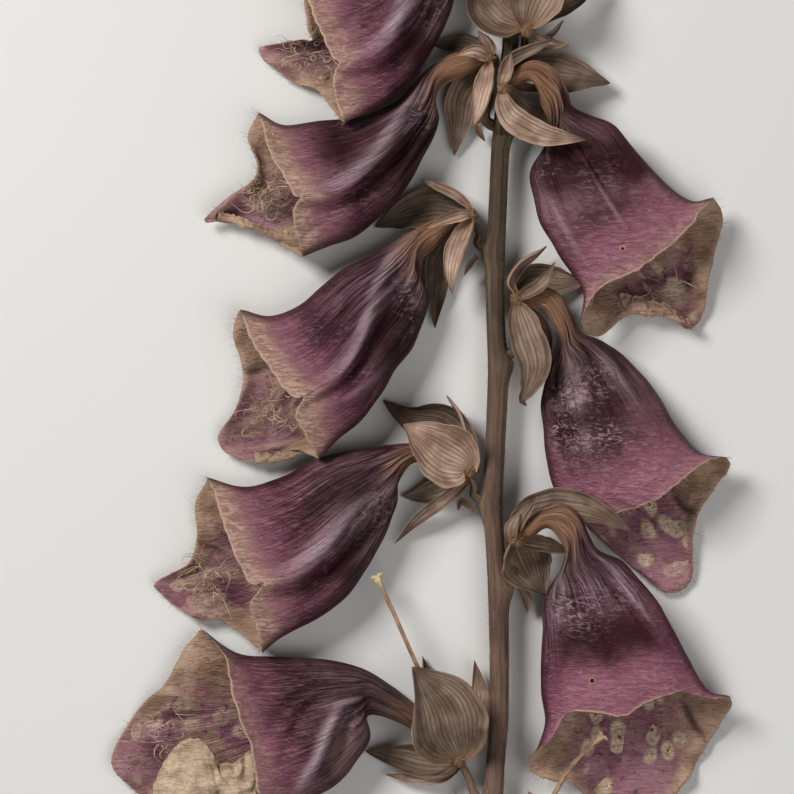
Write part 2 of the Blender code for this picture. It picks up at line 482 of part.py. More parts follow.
def stalk(key, cup):
    """A flower stalk that stops a little short of its cup."""
    cup = np.array(cup)
    last = np.array(STALKS[key][-1])
    away = (last - cup) / np.linalg.norm(last - cup)
    end = cup + away * (CUP_RADIUS + NECK_GAP)
    path = [*STALKS[key], tuple(end)] if np.linalg.norm(last - end) > 0.8 else [STALKS[key][0], end]
    radii = [(0, STALK_RADIUS * 1.15), (0.3, STALK_RADIUS), (1, STALK_RADIUS)]
    return tube(f"pedicel_{key}", path, radii, "stem", along=5)


def pistil(key, path):
    """Ovary, style and the small flared stigma at its end, in one rod."""
    radii = [(0, 0.45), (0.12, 0.5), (0.25, 0.42), (0.9, 0.36), (0.97, 0.5), (1, 0.65)]
    return tube(f"pistil_{key}", path, radii, "pistil", sides=6, along=10)


def pistil_path(flower):
    """Along the middle of the bell, as far as the pistil is long."""
    t = np.linspace(0.01, 1, 60)
    middle = (curve(flower["first"], t) + curve(flower["second"], t)) / 2
    crest = np.interp(t, *np.transpose(flower["crest"]))
    keel = np.maximum(np.interp(t, *np.transpose(flower["keel"])), 0)
    points = np.column_stack([middle, (crest + keel) / 2])
    length = np.r_[0, np.cumsum(np.linalg.norm(np.diff(points, axis=0), axis=1))]
    places = np.linspace(0, PISTIL_LENGTH, 6)
    return [tuple(np.interp(places, length, points[:, k])[i] for k in range(3)) for i in range(6)]


def bud(number, path, radius):
    radii = [(0, 0.45), (0.35, 0.45), (0.5, radius * 0.8), (0.68, radius), (0.85, radius * 0.75),
             (1, 0.2)]
    return tube(f"bud_{number}", path, radii, "bud", sides=8, along=9)


def crest_and_keel(flower):
    """Heights of the upper and the lower wall along a bell, from its neck's height."""
    height = flower["cup"][2]
    flower.setdefault("crest", [(0, height + 1.5), (0.12, height + 1.8), (0.3, 8.6), (0.55, 11),
                                (0.8, 12), (1, 11.5)])
    flower.setdefault("keel", [(0, height - 1.4), (0.14, height - 1.4), (0.3, 1.6), (0.45, 0),
                               (1, -1.5)])


def settle():
    """Moves everything so that the origin is under the middle of the whole, on the surface."""
    corners = np.array([list(v.co) for o in bpy.context.scene.objects for v in o.data.vertices])
    low, high = corners.min(0), corners.max(0)
    shift = np.array([-(low[0] + high[0]) / 2, -(low[1] + high[1]) / 2, -low[2]])
    for obj in bpy.context.scene.objects:
        obj.location = tuple(shift)


clear_scene()
stem()
for name, flower in BELLS.items():
    crest_and_keel(flower)
    bell(name, flower)
    if name not in LOOSE_PISTILS:
        pistil(name, pistil_path(flower))
for name, route in LOOSE_PISTILS.items():
    pistil(name, route)
for name in SEPALS:
    middle = BELLS[name]["cup"] if name in BELLS else BARE_CUPS[name]
    calyx(name, middle)
    stalk(name, middle)
for name, leaf in BRACTS.items():
    blade(f"bract_{name}", *leaf)
for number, (route, greatest) in enumerate(BUDS, 1):
    bud(number, route, greatest)
settle()
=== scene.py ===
"""A cut and dried foxglove flower spike on a pale table, seen from straight above.

Outlines are in millimetres in the spike's own drawing: x across, y along the stem towards its tip,
z up from the table. STEM_SHIFT moves every piece so that the drawn stem lies on the CAD stem.
"""

import math

import bpy
import numpy as np
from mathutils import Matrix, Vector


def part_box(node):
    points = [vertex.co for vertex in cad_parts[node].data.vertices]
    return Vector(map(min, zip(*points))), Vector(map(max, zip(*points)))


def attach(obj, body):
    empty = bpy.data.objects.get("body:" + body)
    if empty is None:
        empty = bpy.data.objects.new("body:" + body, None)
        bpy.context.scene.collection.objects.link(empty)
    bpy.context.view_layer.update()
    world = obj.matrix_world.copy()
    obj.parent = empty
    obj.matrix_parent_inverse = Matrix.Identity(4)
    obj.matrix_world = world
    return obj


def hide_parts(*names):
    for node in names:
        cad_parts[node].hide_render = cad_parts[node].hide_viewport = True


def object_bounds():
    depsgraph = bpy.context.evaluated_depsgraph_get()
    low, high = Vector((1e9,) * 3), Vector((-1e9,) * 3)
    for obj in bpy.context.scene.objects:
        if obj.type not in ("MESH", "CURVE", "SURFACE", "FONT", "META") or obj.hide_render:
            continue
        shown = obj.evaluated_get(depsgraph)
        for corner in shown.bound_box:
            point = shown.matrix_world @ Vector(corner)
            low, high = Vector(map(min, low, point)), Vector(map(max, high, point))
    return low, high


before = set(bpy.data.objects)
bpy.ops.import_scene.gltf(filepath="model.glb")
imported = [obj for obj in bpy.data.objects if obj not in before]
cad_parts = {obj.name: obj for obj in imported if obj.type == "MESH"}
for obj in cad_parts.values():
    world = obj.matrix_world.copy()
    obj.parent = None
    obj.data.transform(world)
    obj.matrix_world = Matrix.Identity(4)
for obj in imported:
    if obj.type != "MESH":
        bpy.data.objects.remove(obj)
cad_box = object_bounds()

# ---------------------------------------------------------------------------------------------
# Stem: one round stalk that shrank as it dried, so it is ribbed, with a low ridge running down
# from every joint where a flower stalk grows out.

MM = 0.001
STEM_HEIGHT = 4.0  # height of its middle line
# The stem's middle line from above, (y, radius) along it, and (y, side) of its joints.
STEM_LINE = [(-0.9, -90), (-0.4, -65), (0.4, -52), (0.1, -32), (-0.6, -18), (-0.3, -8), (0.1, 4),
             (-0.3, 18), (0.2, 34), (0.7, 44), (1.9, 55), (3.4, 72), (4.8, 88), (5.6, 100),
             (5.4, 109)]
STEM_RADIUS = [(-90, 1.5), (-50, 1.55), (-10, 1.6), (30, 1.5), (60, 1.35), (85, 1.0), (109, 0.4)]
STEM_JOINTS = [(-83, 1), (-68, -1), (-32, 1), (-18.2, -1), (5.5, 1), (24.4, -1), (45, 1), (72, -1)]
STEM_GRID = (460, 48)  # rings along the stem, and points round each
JOINT_SWELL, JOINT_REACH = 0.45, 2.4
RIBS, RIB_HEIGHT = 9, 0.06
RIDGE_LENGTH, RIDGE_HEIGHT, RIDGE_WIDTH = 26.0, 0.3, 0.3  # the width is an angle in radians
COLLAR_HEIGHT, COLLAR_WIDTH = 0.12, 0.22


def curve(points, places, steps=24):
    """Catmull-Rom curve through points, read at places from 0 to 1 of its length.

    Each span between two points is worked out in steps, and the places are read from those.
    """
    points = np.asarray(points, float)
    ends = np.vstack([2 * points[0] - points[1], points, 2 * points[-1] - points[-2]])
    a, b, c, d = (ends[i : len(ends) - 3 + i, None] for i in range(4))
    u = np.linspace(0, 1, steps, endpoint=False)[None, :, None]
    dense = 0.5 * (2 * b + (c - a) * u + (2 * a - 5 * b + 4 * c - d) * u**2
                   + (3 * b - a - 3 * c + d) * u**3)
    dense = np.vstack([dense.reshape(-1, points.shape[1]), points[-1:]])
    length = run_length(dense)
    return read_at(np.asarray(places) * length[-1], length, dense)


def run_length(points):
    """Length of a path from its start to each of its points."""
    return np.r_[0, np.cumsum(np.linalg.norm(np.diff(points, axis=0), axis=1))]


def read_at(places, known, points):
    """Points of a path at places, between those at the known places."""
    return np.stack([np.interp(places, known, column) for column in points.T], -1)


def turns(count):
    """Angles of count points round a circle."""
    return np.linspace(0, 2 * math.pi, count, endpoint=False)


def together(*values):
    """Values spread to one shape and joined as vectors."""
    return np.stack(np.broadcast_arrays(*values), -1)


def between(first, second, amount):
    """The straight mix of first and second."""
    return first * (1 - amount) + second * amount


def near_zero(value, width):
    """1 where value is 0, falling on both sides as exp(-(value / width)²)."""
    return np.exp(-((value / width) ** 2))


def noise(x, y, seed, side=64):
    """Smooth noise from -1 to 1: random values on a square lattice, eased between its points."""
    table = np.random.default_rng(seed).uniform(-1, 1, (side, side))
    x, y = np.broadcast_arrays(np.asarray(x, float), np.asarray(y, float))
    i, j = np.floor(x).astype(int), np.floor(y).astype(int)
    u, v = x - i, y - j
    u, v = u * u * (3 - 2 * u), v * v * (3 - 2 * v)
    low, high = (between(table[i % side, row % side], table[(i + 1) % side, row % side], u)
                 for row in (j, j + 1))
    return between(low, high, v)


def rough(x, y, seed, octaves=3):
    """Noise summed over octaves, each twice as fine and half as high as the last."""
    total = sum(noise(x * 2**k, y * 2**k, seed + k) * 0.5**k for k in range(octaves))
    return total / (2 - 0.5 ** (octaves - 1))


def stem_rings():
    """Rings of the stem: a circle, swollen sideways at each joint, with ribs pressed into it.

    Even ribs wander round it, a ridge thins out downwards from each joint, and a low collar of
    near_zero's shape circles the stem there.
    """
    y = np.linspace(STEM_LINE[0][1], STEM_LINE[-1][1], STEM_GRID[0])
    x = np.interp(y, STEM_AXIS[:, 1], STEM_AXIS[:, 0])
    radius = np.interp(y, *np.transpose(STEM_RADIUS))
    width = radius.copy()
    turn = turns(STEM_GRID[1])
    ribs = RIB_HEIGHT * np.cos(RIBS * turn + 2.5 * noise(y[:, None] / 30, 0.5, 3))
    ribs = ribs * (0.7 + 0.5 * noise(y[:, None] / 12, turn * 2, 4))
    ribs = ribs + 0.04 * rough(y[:, None] / 3, turn * 6, 5)
    for number, (place, side) in enumerate(STEM_JOINTS):
        swell = JOINT_SWELL * near_zero(y - place, JOINT_REACH)
        x = x + side * swell
        width = width + swell
        down = np.clip((place - y) / RIDGE_LENGTH, 0, 1)
        reach_down = np.where(y < place, (1 - down) ** 1.2, near_zero(y - place, 1.2))
        lean = (0 if side > 0 else math.pi) + 0.75 * side * (1 if number % 2 else 0.4)
        apart = np.angle(np.exp(1j * (turn - lean)))
        ribs = ribs + RIDGE_HEIGHT * reach_down[:, None] * near_zero(apart, RIDGE_WIDTH)
        collar = near_zero(y[:, None] - place - 0.25 * np.cos(turn * 2), COLLAR_WIDTH)
        ribs = ribs + COLLAR_HEIGHT * collar * near_zero(apart, 1.2)
    deep = ribs * (radius / 1.5)[:, None]
    rings = together(x[:, None] + (width[:, None] + deep) * np.cos(turn), y[:, None],
                     STEM_HEIGHT + (radius[:, None] + deep) * np.sin(turn))
    return rings, ribs


def seat(drawn, node):
    """How far to move a drawn piece so that its box sits over its node's, standing as low."""
    low, high = np.array(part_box(node)) / MM
    flat = np.reshape(drawn, (-1, 3))
    own_low, own_high = flat.min(0), flat.max(0)
    shift = (low + high - own_low - own_high) / 2
    shift[2] = low[2] - own_low[2]
    return shift


def link(name, data):
    """A new object of the scene, at the origin."""
    obj = bpy.data.objects.new(name, data)
    bpy.context.scene.collection.objects.link(obj)
    return obj


def add_mesh(name, points, faces, material, replaced=()):
    """A smooth mesh of the spike, from points in mm, riding on its body and standing for nodes."""
    mesh = bpy.data.meshes.new(name)
    mesh.from_pydata((points * MM).tolist(), [], faces)
    mesh.polygons.foreach_set("use_smooth", np.ones(len(mesh.polygons), bool))
    mesh.materials.append(material)
    obj = link(name, mesh)
    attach(obj, "root")
    if replaced:
        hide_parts(*replaced)
    return mesh


def piece(node, patches, material):
    """The object that stands for one CAD node, from patches, each (points, closed, fields).

    points is an (m, n, 3) grid whose rows wrap round; closed "ring" also joins its last row to its
    first, and "caps" closes both ends with a face. fields are per-point values that become the
    attributes the materials read. Faces of a patch that point inwards are turned.
    """
    corners, faces, values, start = [], [], {}, 0
    for points, closed, fields in patches:
        m, n = points.shape[:2]
        index = np.arange(m * n).reshape(m, n)
        below = np.roll(index, -1, axis=0) if closed == "ring" else index[1:]
        above = index if closed == "ring" else index[:-1]
        quads = np.stack([above, np.roll(above, -1, 1), np.roll(below, -1, 1), below], -1)
        quads = quads.reshape(-1, 4)
        flat = points.reshape(-1, 3)
        spokes = (flat - flat.mean(0))[quads]
        tents = np.cross(spokes[:, 1], spokes[:, 2]) + np.cross(spokes[:, 2], spokes[:, 3])
        inside_out = (spokes[:, 0] * tents).sum() < 0
        if inside_out:
            quads = quads[:, ::-1]
        faces += (quads + start).tolist()
        if closed == "caps":
            ends = [index[0, ::-1] + start, index[-1] + start]
            faces += [(end[::-1] if inside_out else end).tolist() for end in ends]
        corners.append(flat)
        for key in fields:
            values.setdefault(key, []).append((start, np.reshape(fields[key], (m * n, -1))))
        start += m * n
    mesh = add_mesh(f"{node}_skin", np.vstack(corners), faces, material, [node])
    for key, chunks in values.items():
        width = chunks[0][1].shape[1]
        whole = np.zeros((start, width), np.float32)
        for first, chunk in chunks:
            whole[first : first + len(chunk)] = chunk
        kind = "FLOAT" if width == 1 else "FLOAT_VECTOR"
        attribute = mesh.attributes.new(key, kind, "POINT")
        attribute.data.foreach_set("value" if width == 1 else "vector", whole.ravel())


def ink(text):
    """sRGB hex to linear colour."""
    channels = [int(text[i : i + 2], 16) / 255 for i in (1, 3, 5)]
    return (*[((c + 0.055) / 1.055) ** 2.4 if c > 0.04045 else c / 12.92 for c in channels], 1.0)


# What a node's name stands for: its type, its settings, the inputs that take its values in order,
# and the output that it gives, or all of them.
NODES = {
    "place": ("TexCoord", {}, (), "Object"),
    "vector": ("Attribute", {}, (), "Vector"),
    "level": ("Attribute", {}, (), "Fac"),
    "split": ("SeparateXYZ", {}, (0,), None),
    "red": ("SeparateColor", {}, (0,), 0),
    "stretch": ("Mapping", {}, ("Vector", "Scale", "Rotation"), 0),
    "noise": ("TexNoise", {}, ("Vector", "Scale", "Detail", "Distortion"), 0),
    "cells": ("TexVoronoi", {}, ("Vector", "Scale", "Randomness"), None),
    "reach": ("MapRange", {"interpolation_type": "SMOOTHSTEP"}, (0, 1, 2, 3, 4), 0),
    "mix": ("Mix", {"data_type": "RGBA"}, (0, 6, 7), 2),
    "bump": ("Bump", {}, ("Height", "Strength", "Distance"), 0),
    "times": ("Math", {"operation": "MULTIPLY"}, (0, 1), 0),
    "plus": ("Math", {"operation": "ADD"}, (0, 1), 0),
    "minus": ("Math", {"operation": "SUBTRACT"}, (0, 1), 0),
    "over": ("Math", {"operation": "DIVIDE"}, (0, 1), 0),
    "times_plus": ("Math", {"operation": "MULTIPLY_ADD"}, (0, 1, 2), 0),
    "power": ("Math", {"operation": "POWER"}, (0, 1), 0),
    "larger": ("Math", {"operation": "MAXIMUM"}, (0, 1), 0),
    "unsigned": ("Math", {"operation": "ABSOLUTE"}, (0,), 0),
    "sine": ("Math", {"operation": "SINE"}, (0,), 0),
}


def start_material(name):
    """A new material, and the function that adds a node to it and gives its output.

    Each value is linked if it is a socket and set if not, and a hex colour is made linear first.
    Further values of a sum or a product go into further nodes.
    """
    material = bpy.data.materials.new(name)
    material.use_nodes = True
    tree = material.node_tree

    def add(kind, *values, **settings):
        if kind in ("times", "plus") and len(values) > 2:
            values = (add(kind, *values[:-1]), values[-1])
        label, fixed, places, output = NODES[kind]
        node = tree.nodes.new("ShaderNode" + label)
        for key, value in {**fixed, **settings}.items():
            setattr(node, key, value)
        for place, value in zip(places, values):
            if isinstance(value, bpy.types.NodeSocket):
                tree.links.new(value, node.inputs[place])
            else:
                node.inputs[place].default_value = ink(value) if isinstance(value, str) else value
        return node.outputs if output is None else node.outputs[output]

    return material, add


def finish_material(material, colour, roughness, specular=0.5, bump=None):
    """Gives the shader its colour, gloss and relief: a socket is linked and a number set."""
    shader = material.node_tree.nodes["Principled BSDF"]
    looks = {"Base Color": colour, "Roughness": roughness, "Specular IOR Level": specular, "Normal": bump}
    for key, value in looks.items():
        if isinstance(value, bpy.types.NodeSocket):
            material.node_tree.links.new(value, shader.inputs[key])
        elif value is not None:
            shader.inputs[key].default_value = value
    return material


def grain(add, source, scale, detail, distortion=0.0, turn=0.0):
    """Noise over source, turned and then scaled along each of its axes."""
    stretched = add("stretch", source, scale, (0, 0, turn))
    return add("noise", stretched, 1.0, detail, distortion)


def mottle(add, source, low, high, first, second):
    """Colour that goes from first to second as source goes from low to high."""
    return add("mix", add("reach", source, low, high), first, second)


def coats(add, colour, layers):
    """A colour with layers over it, each (amount, colour), laid on one after the other."""
    for amount, coat in layers:
        colour = add("mix", amount, colour, coat)
    return colour


def dried_stem():
    """Dried green stem: olive brown skin in long fibres, paler on the ribs, with a dull grain."""
    material, add = start_material("dried_stem_skin")
    place = add("place")
    fibre = grain(add, place, (4000, 160, 4000), 3.0)  # fibres 0.25 mm apart and 6 mm long
    cloud = add("noise", place, 90.0, 4.0)  # patches 11 mm across
    green = mottle(add, cloud, 0.35, 0.65, "#2b2517", "#403522")
    brown = mottle(add, cloud, 0.35, 0.65, "#523f33", "#775d4e")
    rib = add("level", attribute_name="rib")
    tone = coats(add, mottle(add, add("split", place)[1], 0.05, -0.06, green, brown), [
        (add("reach", rib, 0.35, 0.95, 0.0, 0.5), "#7e694e"),
        (add("times", add("reach", fibre, 0.56, 0.36), 0.4), "#2b1f14"),
    ])
    return finish_material(material, tone, 0.75, 0.3, add("bump", fibre, 0.5, 0.0001))


STEM_AXIS = curve(STEM_LINE, np.linspace(0, 1, 400))
STEM_RINGS, STEM_RIBS = stem_rings()
STEM_SHIFT = seat(STEM_RINGS, "stem")
stem_skin = dried_stem()
stem_fields = {"rib": np.clip(0.4 + STEM_RIBS * 2.2, 0, 1)}
piece("stem", [(STEM_RINGS + STEM_SHIFT, "caps", stem_fields)], stem_skin)

# ---------------------------------------------------------------------------------------------
# Bells: each corolla is a thin tube that flares from a narrow neck to a lobed mouth and dried
# flat-bellied on the table. The upper and the lower wall meet along both sides, and the same
# folds run through the outer and the inner skin. The lower lip is the longest lobe.

NECK_SKIN, RIM_SKIN, LOBE_SKIN = 0.35, 0.14, 0.18  # thickness in mm
BELL_FLARE = 2.6  # power of the way along, by which the bend of the rim fades in
ARCH = 0.6  # power of both walls' section: 0.5 is an ellipse, more is flatter at the sides
UPPER, LOWER = 128, 72  # points across the upper and the lower wall
OUTER, INNER = 128, 44  # rings of the outer and the inner skin
TALLEST = 11.2  # heights over this many mm are eased towards 1.5 mm more
FOLD_LIFT = 1.25  # how much higher the folds of the upper wall stand than their heights say
LIP_LIFT = 1.1  # how far the lower wall stands off the table near its rim
LIP_CURL = 1.3  # how far the lower rim curls up
RIM_ROLL, RIM_RISE = 1.5, 1.3  # how far the rim rolls back and how high

# Each bell: cup is the middle of the calyx that it is plugged into, first and second are its sides
# from the neck to the mouth, and near and far the upper and the lower rim between their ends.
# ridge is how far across the crest lies, edges are the heights of the mouth's two corners, and
# crest and keel are the heights of both walls along a bell that lies unlike the others. Folds are
# (line, width, height). Patches are (x, y, radius, strength). The shade patches are painted light
# and painted shade, partly the wall's own pale and dark colour, and a negative shade is a dark one.
# lip is the middle and radius of the lip's own colour, bleach how pale the rim is, grey how dull
# the wall is, and habit how spotted, how lined and how rosy the bell is.
BELLS = {
    "L1": {
        "cup": (0.6, 79.6, 4.8), "ridge": 0.62, "edges": (4.5, 9.5), "lip": (-38, 57, 9),
        "bleach": 0.65, "grey": 0.1, "habit": (0.2, 0.8, 0.5),
        "first": [(-2, 79.6), (-7, 78.6), (-14, 75.6), (-22, 71), (-28, 69.4), (-32.5, 69)],
        "second": [(-0.2, 77.1), (-3.6, 73.4), (-6.6, 68.2), (-8.3, 62.9), (-11.6, 56.1), (-16.7, 50.4),
            (-21.5, 47.4), (-25.4, 45.2)],
        "near": [(-31.7, 66.2), (-30.4, 61.7), (-28, 56.4), (-26.5, 55.2), (-27.4, 53.4), (-27.4, 51.3),
            (-26.8, 48.9)],
        "far": [(-32.1, 61.7), (-31.6, 59.2), (-35.7, 58.5), (-41.4, 57.4), (-38.4, 55.2),
            (-33.6, 52.3), (-30.4, 51.2), (-28, 48.3)],
        "folds": [([(-12, 70), (-15.2, 66.2), (-17, 62), (-19, 59), (-22, 57), (-25.5, 55.3)],
            1.9, 1.5), ([(-9.5, 67), (-12.5, 61.5), (-16, 56.5), (-20.5, 53.6), (-25, 53)], 1.7, -1.6),
            ([(-12, 74), (-18, 69), (-23, 64.5), (-26.5, 60.5)], 1.2, -0.7), ([(-9, 74.5), (-14, 70.5),
            (-19, 65), (-22, 61)], 0.9, -0.8)],
        "lip_folds": [([(-40, 57), (-35, 56), (-29.6, 53)], 1.0, 1.3), ([(-34, 58), (-31, 56.4),
            (-28.4, 56)], 0.8, -0.9)],
        "crumple": [(-10, 65, 3.2, 0.3)],
        "shade": [(-13.5, 58, 3.6, -0.8), (-20, 66, 5, 0.25)],
    },
    "L2": {
        "cup": (-1.2, 56.4, 5.0), "ridge": 0.6, "edges": (3.0, 6.5), "lip": (-45, 32, 11),
        "bleach": 1.0, "grey": 0.15, "habit": (0.4, 0.8, 0.5),
        "first": [(-3.2, 57.9), (-6.5, 57.6), (-9.5, 56.4), (-12.5, 53.8), (-15.5, 50.4), (-20, 47.8),
            (-24, 46.6), (-29.8, 46.2), (-35.4, 45.5), (-40, 47.4)],
        "second": [(-3, 54.6), (-5, 53.7), (-8.9, 51.9), (-10.2, 49.4), (-9.8, 45.7), (-12.5, 39.4),
            (-17, 32.6), (-22.9, 27.2), (-28, 25.1), (-32.6, 23.2)],
        "near": [(-39, 44.5), (-38.1, 40.6), (-34.1, 33.4), (-32.7, 33.2), (-34.2, 30.5),
            (-33.8, 27.5)],
        "far": [(-42, 43), (-41.7, 37.6), (-42.6, 35.2), (-46.4, 32.6), (-49.9, 29), (-45.2, 29),
            (-39.9, 27), (-34.5, 24.2)],
        "folds": [([(-11.6, 51.9), (-15.5, 47.7), (-19, 41.8), (-22.6, 37.9), (-27.4, 34.6),
            (-33.4, 33.2)], 2.0, 1.9), ([(-11, 47), (-14.4, 42), (-18, 37.4), (-22.4, 33.6),
            (-27.4, 31), (-32, 31.2)], 1.7, -1.9), ([(-14, 51.4), (-19, 46), (-23, 42.4), (-28, 39.6)],
            1.1, -0.9), ([(-16, 49.4), (-21, 46), (-26, 43.4), (-31, 41.6)], 0.9, -0.6), ([(-28, 29),
            (-31, 27.4), (-33, 25)], 0.9, -0.6)],
        "lip_folds": [([(-43, 33.6), (-39.6, 31.6), (-34.8, 29.4)], 0.9, 1.6), ([(-42, 40), (-38, 38),
            (-35, 36)], 1.0, 1.0), ([(-47, 30.4), (-42, 29.4), (-36, 26.6)], 0.9, -1.0),
            ([(-48.6, 29.6), (-45, 32.4)], 1.1, 1.6)],
        "crumple": [(-12.8, 46.8, 2.8, 0.4)],
        "shade": [(-29, 41, 6, -0.3), (-16, 38.5, 4, -0.6), (-12, 43, 3, -0.7), (-29, 29.5, 4.5, 0.35),
            (-26, 41.4, 6, -0.4)],
    },
    "L3": {
        "cup": (-4.5, 30.1, 4.8), "ridge": 0.58, "edges": (4.0, 7.5), "lip": (-43.5, -6, 11),
        "bleach": 1.0, "grey": 0.1, "habit": (0.3, 0.8, 0.55),
        "first": [(-6.1, 31.2), (-10.3, 29.8), (-15.1, 27.1), (-20.2, 24.1), (-26.5, 20.9),
            (-32.3, 15.8), (-37.4, 13.6), (-43, 14.3)],
        "second": [(-6.9, 28.4), (-10, 25.2), (-12.9, 22.6), (-12.4, 19.4), (-11.4, 15.8), (-13.8, 9.1),
            (-17.6, 3.3), (-22.1, -3.4), (-26, -6.8), (-29.6, -10.4)],
        "near": [(-41.7, 10.6), (-39.3, 6.2), (-34.3, -0.1), (-32.3, 0), (-33.7, -3), (-32.4, -6)],
        "far": [(-44.4, 10), (-43.3, 4.3), (-45, -3), (-48, -8.1), (-44, -11.3), (-38.3, -11),
            (-33.9, -9)],
        "folds": [([(-15.4, 25.7), (-17.6, 22.5), (-19.8, 18.3), (-21.4, 13.9), (-22.7, 9.1),
            (-25.3, 4.9), (-28.8, 2.1), (-32.6, 0)], 2.0, 1.9), ([(-15.4, 17.6), (-18.1, 13.6),
            (-20.8, 9.6), (-23.2, 5), (-26.9, 1), (-31, -1.2)], 1.6, -2.1), ([(-19.5, 22.6),
            (-23.2, 17.7), (-25.7, 14), (-28.8, 9.1)], 1.0, -1.0), ([(-16.4, 20.8), (-20.8, 16.5),
            (-23.5, 12.8), (-25.7, 8.4)], 0.8, -0.8), ([(-30.5, 2.4), (-33.6, 2.9)], 0.6, -0.7),
            ([(-17.8, 5.6), (-22.4, 1.4), (-28.6, -1.6)], 1.7, 0.8)],
        "lip_folds": [([(-45, 3), (-41, 4.2), (-36, 6)], 0.9, -1.1), ([(-41, -4), (-37, -1),
            (-34.4, 4)], 1.1, 1.2), ([(-42, -8.6), (-38, -8.4), (-33, -7.2)], 0.9, 1.5), ([(-46, -6),
            (-42, -4.6), (-38, -5)], 1.2, 0.9)],
        "crumple": [(-15, 17.6, 2.3, 0.45), (-13.6, 12.5, 3.0, 0.2)],
        "shade": [(-42.4, -5, 5.5, -0.55), (-15.4, 12.4, 3.0, -0.5), (-16.4, 9.6, 4.8, -0.9),
            (-28, -5.4, 4.6, 0.4), (-31, -2, 3, 0.4)],
    },
    "L4": {
        "cup": (-4.6, -12.2, 4.8), "ridge": 0.6, "edges": (3.2, 7.5), "lip": (-53.5, -33, 13),
        "bleach": 0.9, "grey": 0.25, "habit": (0.55, 0.85, 0.5),
        "first": [(-6.1, -10.1), (-10.5, -8.4), (-15.2, -7.7), (-22.6, -8.7), (-29.7, -10.2),
            (-36, -13.4), (-42.3, -15), (-48.4, -13.4)],
        "second": [(-7.1, -13.1), (-13.4, -10.9), (-16.2, -14.2), (-16.6, -18), (-20, -25.4),
            (-24.2, -32.3), (-30.1, -37), (-36, -40), (-39.2, -42.6)],
        "near": [(-46.6, -18.5), (-44.3, -25.2), (-41.4, -30.9), (-39.2, -30.9), (-41.2, -34.4),
            (-40.7, -37.4)],
        "far": [(-50.8, -18.1), (-50.6, -24.4), (-52.5, -28.1), (-58.6, -31.7), (-56.5, -33.8),
            (-51, -37.8), (-46.6, -37.8)],
        "folds": [([(-17.1, -15.3), (-23.4, -18.5), (-27, -22.4), (-30.1, -25.6), (-33.7, -28.7),
            (-39.6, -30.9)], 2.0, 1.7), ([(-17.5, -18.5), (-22, -23), (-26, -27.5), (-30, -31),
            (-34.5, -32.9), (-39, -32.6)], 1.7, -1.8), ([(-18, -12), (-23.4, -12.8), (-29, -15.6),
            (-35, -20.6)], 1.0, -0.9), ([(-19, -14), (-25, -15.8), (-30, -19), (-34.6, -24)],
            0.9, -0.9), ([(-18, -10), (-26, -11.2), (-33, -14.4), (-39, -18.6)], 0.9, -0.6)],
        "lip_folds": [([(-52, -24), (-47.6, -25.4), (-44, -27)], 0.9, -1.0), ([(-56, -31.6),
            (-50, -30.6), (-44, -29)], 1.3, 1.2), ([(-52, -36.6), (-47, -35.6), (-42, -36)], 0.9, 1.5),
            ([(-49, -20), (-46.4, -24)], 1.0, 0.9)],
        "crumple": [(-19.3, -18.5, 3.0, 0.5), (-22.4, -21.4, 2.4, 0.25)],
        "shade": [(-24.6, -29.4, 3.2, -0.6), (-37, -37, 4, 0.4), (-21, -21, 3.4, 0.4),
            (-19.4, -18, 2.4, 0.7)],
    },
    "L5": {
        "cup": (-6.3, -60.5, 4.8), "ridge": 0.62, "edges": (3.5, 5.5), "lip": (-62, -60, 11),
        "bleach": 0.3, "grey": 0.9, "habit": (0.6, 1.0, 0.2),
        "first": [(-6.9, -58), (-10, -54.6), (-15.1, -50.2), (-21.3, -45.9), (-28.2, -43.9),
            (-36.8, -43.4), (-43.3, -42.8), (-49.5, -38.8)],
        "second": [(-8.9, -60.2), (-12, -57.2), (-15.1, -54.9), (-19.6, -53.2), (-21.8, -53.6),
            (-21.2, -57.5), (-25.7, -63.5), (-30.5, -67), (-36, -70.5)],
        "near": [(-46, -42.5), (-44.9, -46.3), (-43.3, -52.3), (-41.4, -57.9), (-40.6, -62),
            (-39.8, -66)],
        "far": [(-52.8, -42.4), (-55.6, -47.8), (-60.1, -51.7), (-65.3, -60.5), (-62.5, -65.5),
            (-57, -68.5), (-50, -70), (-43, -71.5)],
        "folds": [([(-22.6, -50.2), (-26, -51.4), (-28.2, -55.4), (-30, -60), (-33.4, -65.7)],
            1.3, 1.9), ([(-22.5, -51.8), (-25.2, -54.6), (-26, -58.6), (-28.4, -62.4)], 1.3, -1.6),
            ([(-24, -46.4), (-31, -48), (-36, -52), (-38.6, -58)], 1.2, -0.9), ([(-22, -47.6),
            (-30, -50), (-34, -55), (-36, -61)], 1.0, -0.9), ([(-28, -45), (-36, -46), (-41, -50)],
            1.0, -0.6), ([(-21.6, -46.8), (-27, -46), (-34, -46.4), (-42, -48.6)], 0.6, 0.6),
            ([(-23, -50), (-30, -51.6), (-36, -55.4), (-39.6, -60)], 0.6, 0.6)],
        "lip_folds": [([(-59, -49.4), (-54, -49.6), (-49.6, -51.4)], 1.0, 1.6), ([(-60, -54.4),
            (-54, -53.4), (-47, -52.4)], 0.8, -1.4), ([(-56, -44), (-50, -46)], 1.2, 0.7), ([(-63, -60),
            (-58, -61), (-55, -64)], 1.4, 1.1), ([(-56.4, -54), (-54.6, -57)], 0.6, 1.0)],
        "crumple": [(-24.4, -54, 2.6, 0.3)],
        "shade": [(-33, -54, 3, -0.2), (-20.4, -52.2, 1.3, -0.8), (-24, -56, 3.2, 1.3),
            (-26, -61, 2.6, 1.0), (-15.6, -52.6, 4, 0.7), (-11.6, -56, 3, 0.6)],
    },
    "R1": {
        "cup": (1.2, 51.6, 8.0), "ridge": 0.5, "edges": (9.8, 5.0), "lip": (29, 13, 8), "bleach": 0.35,
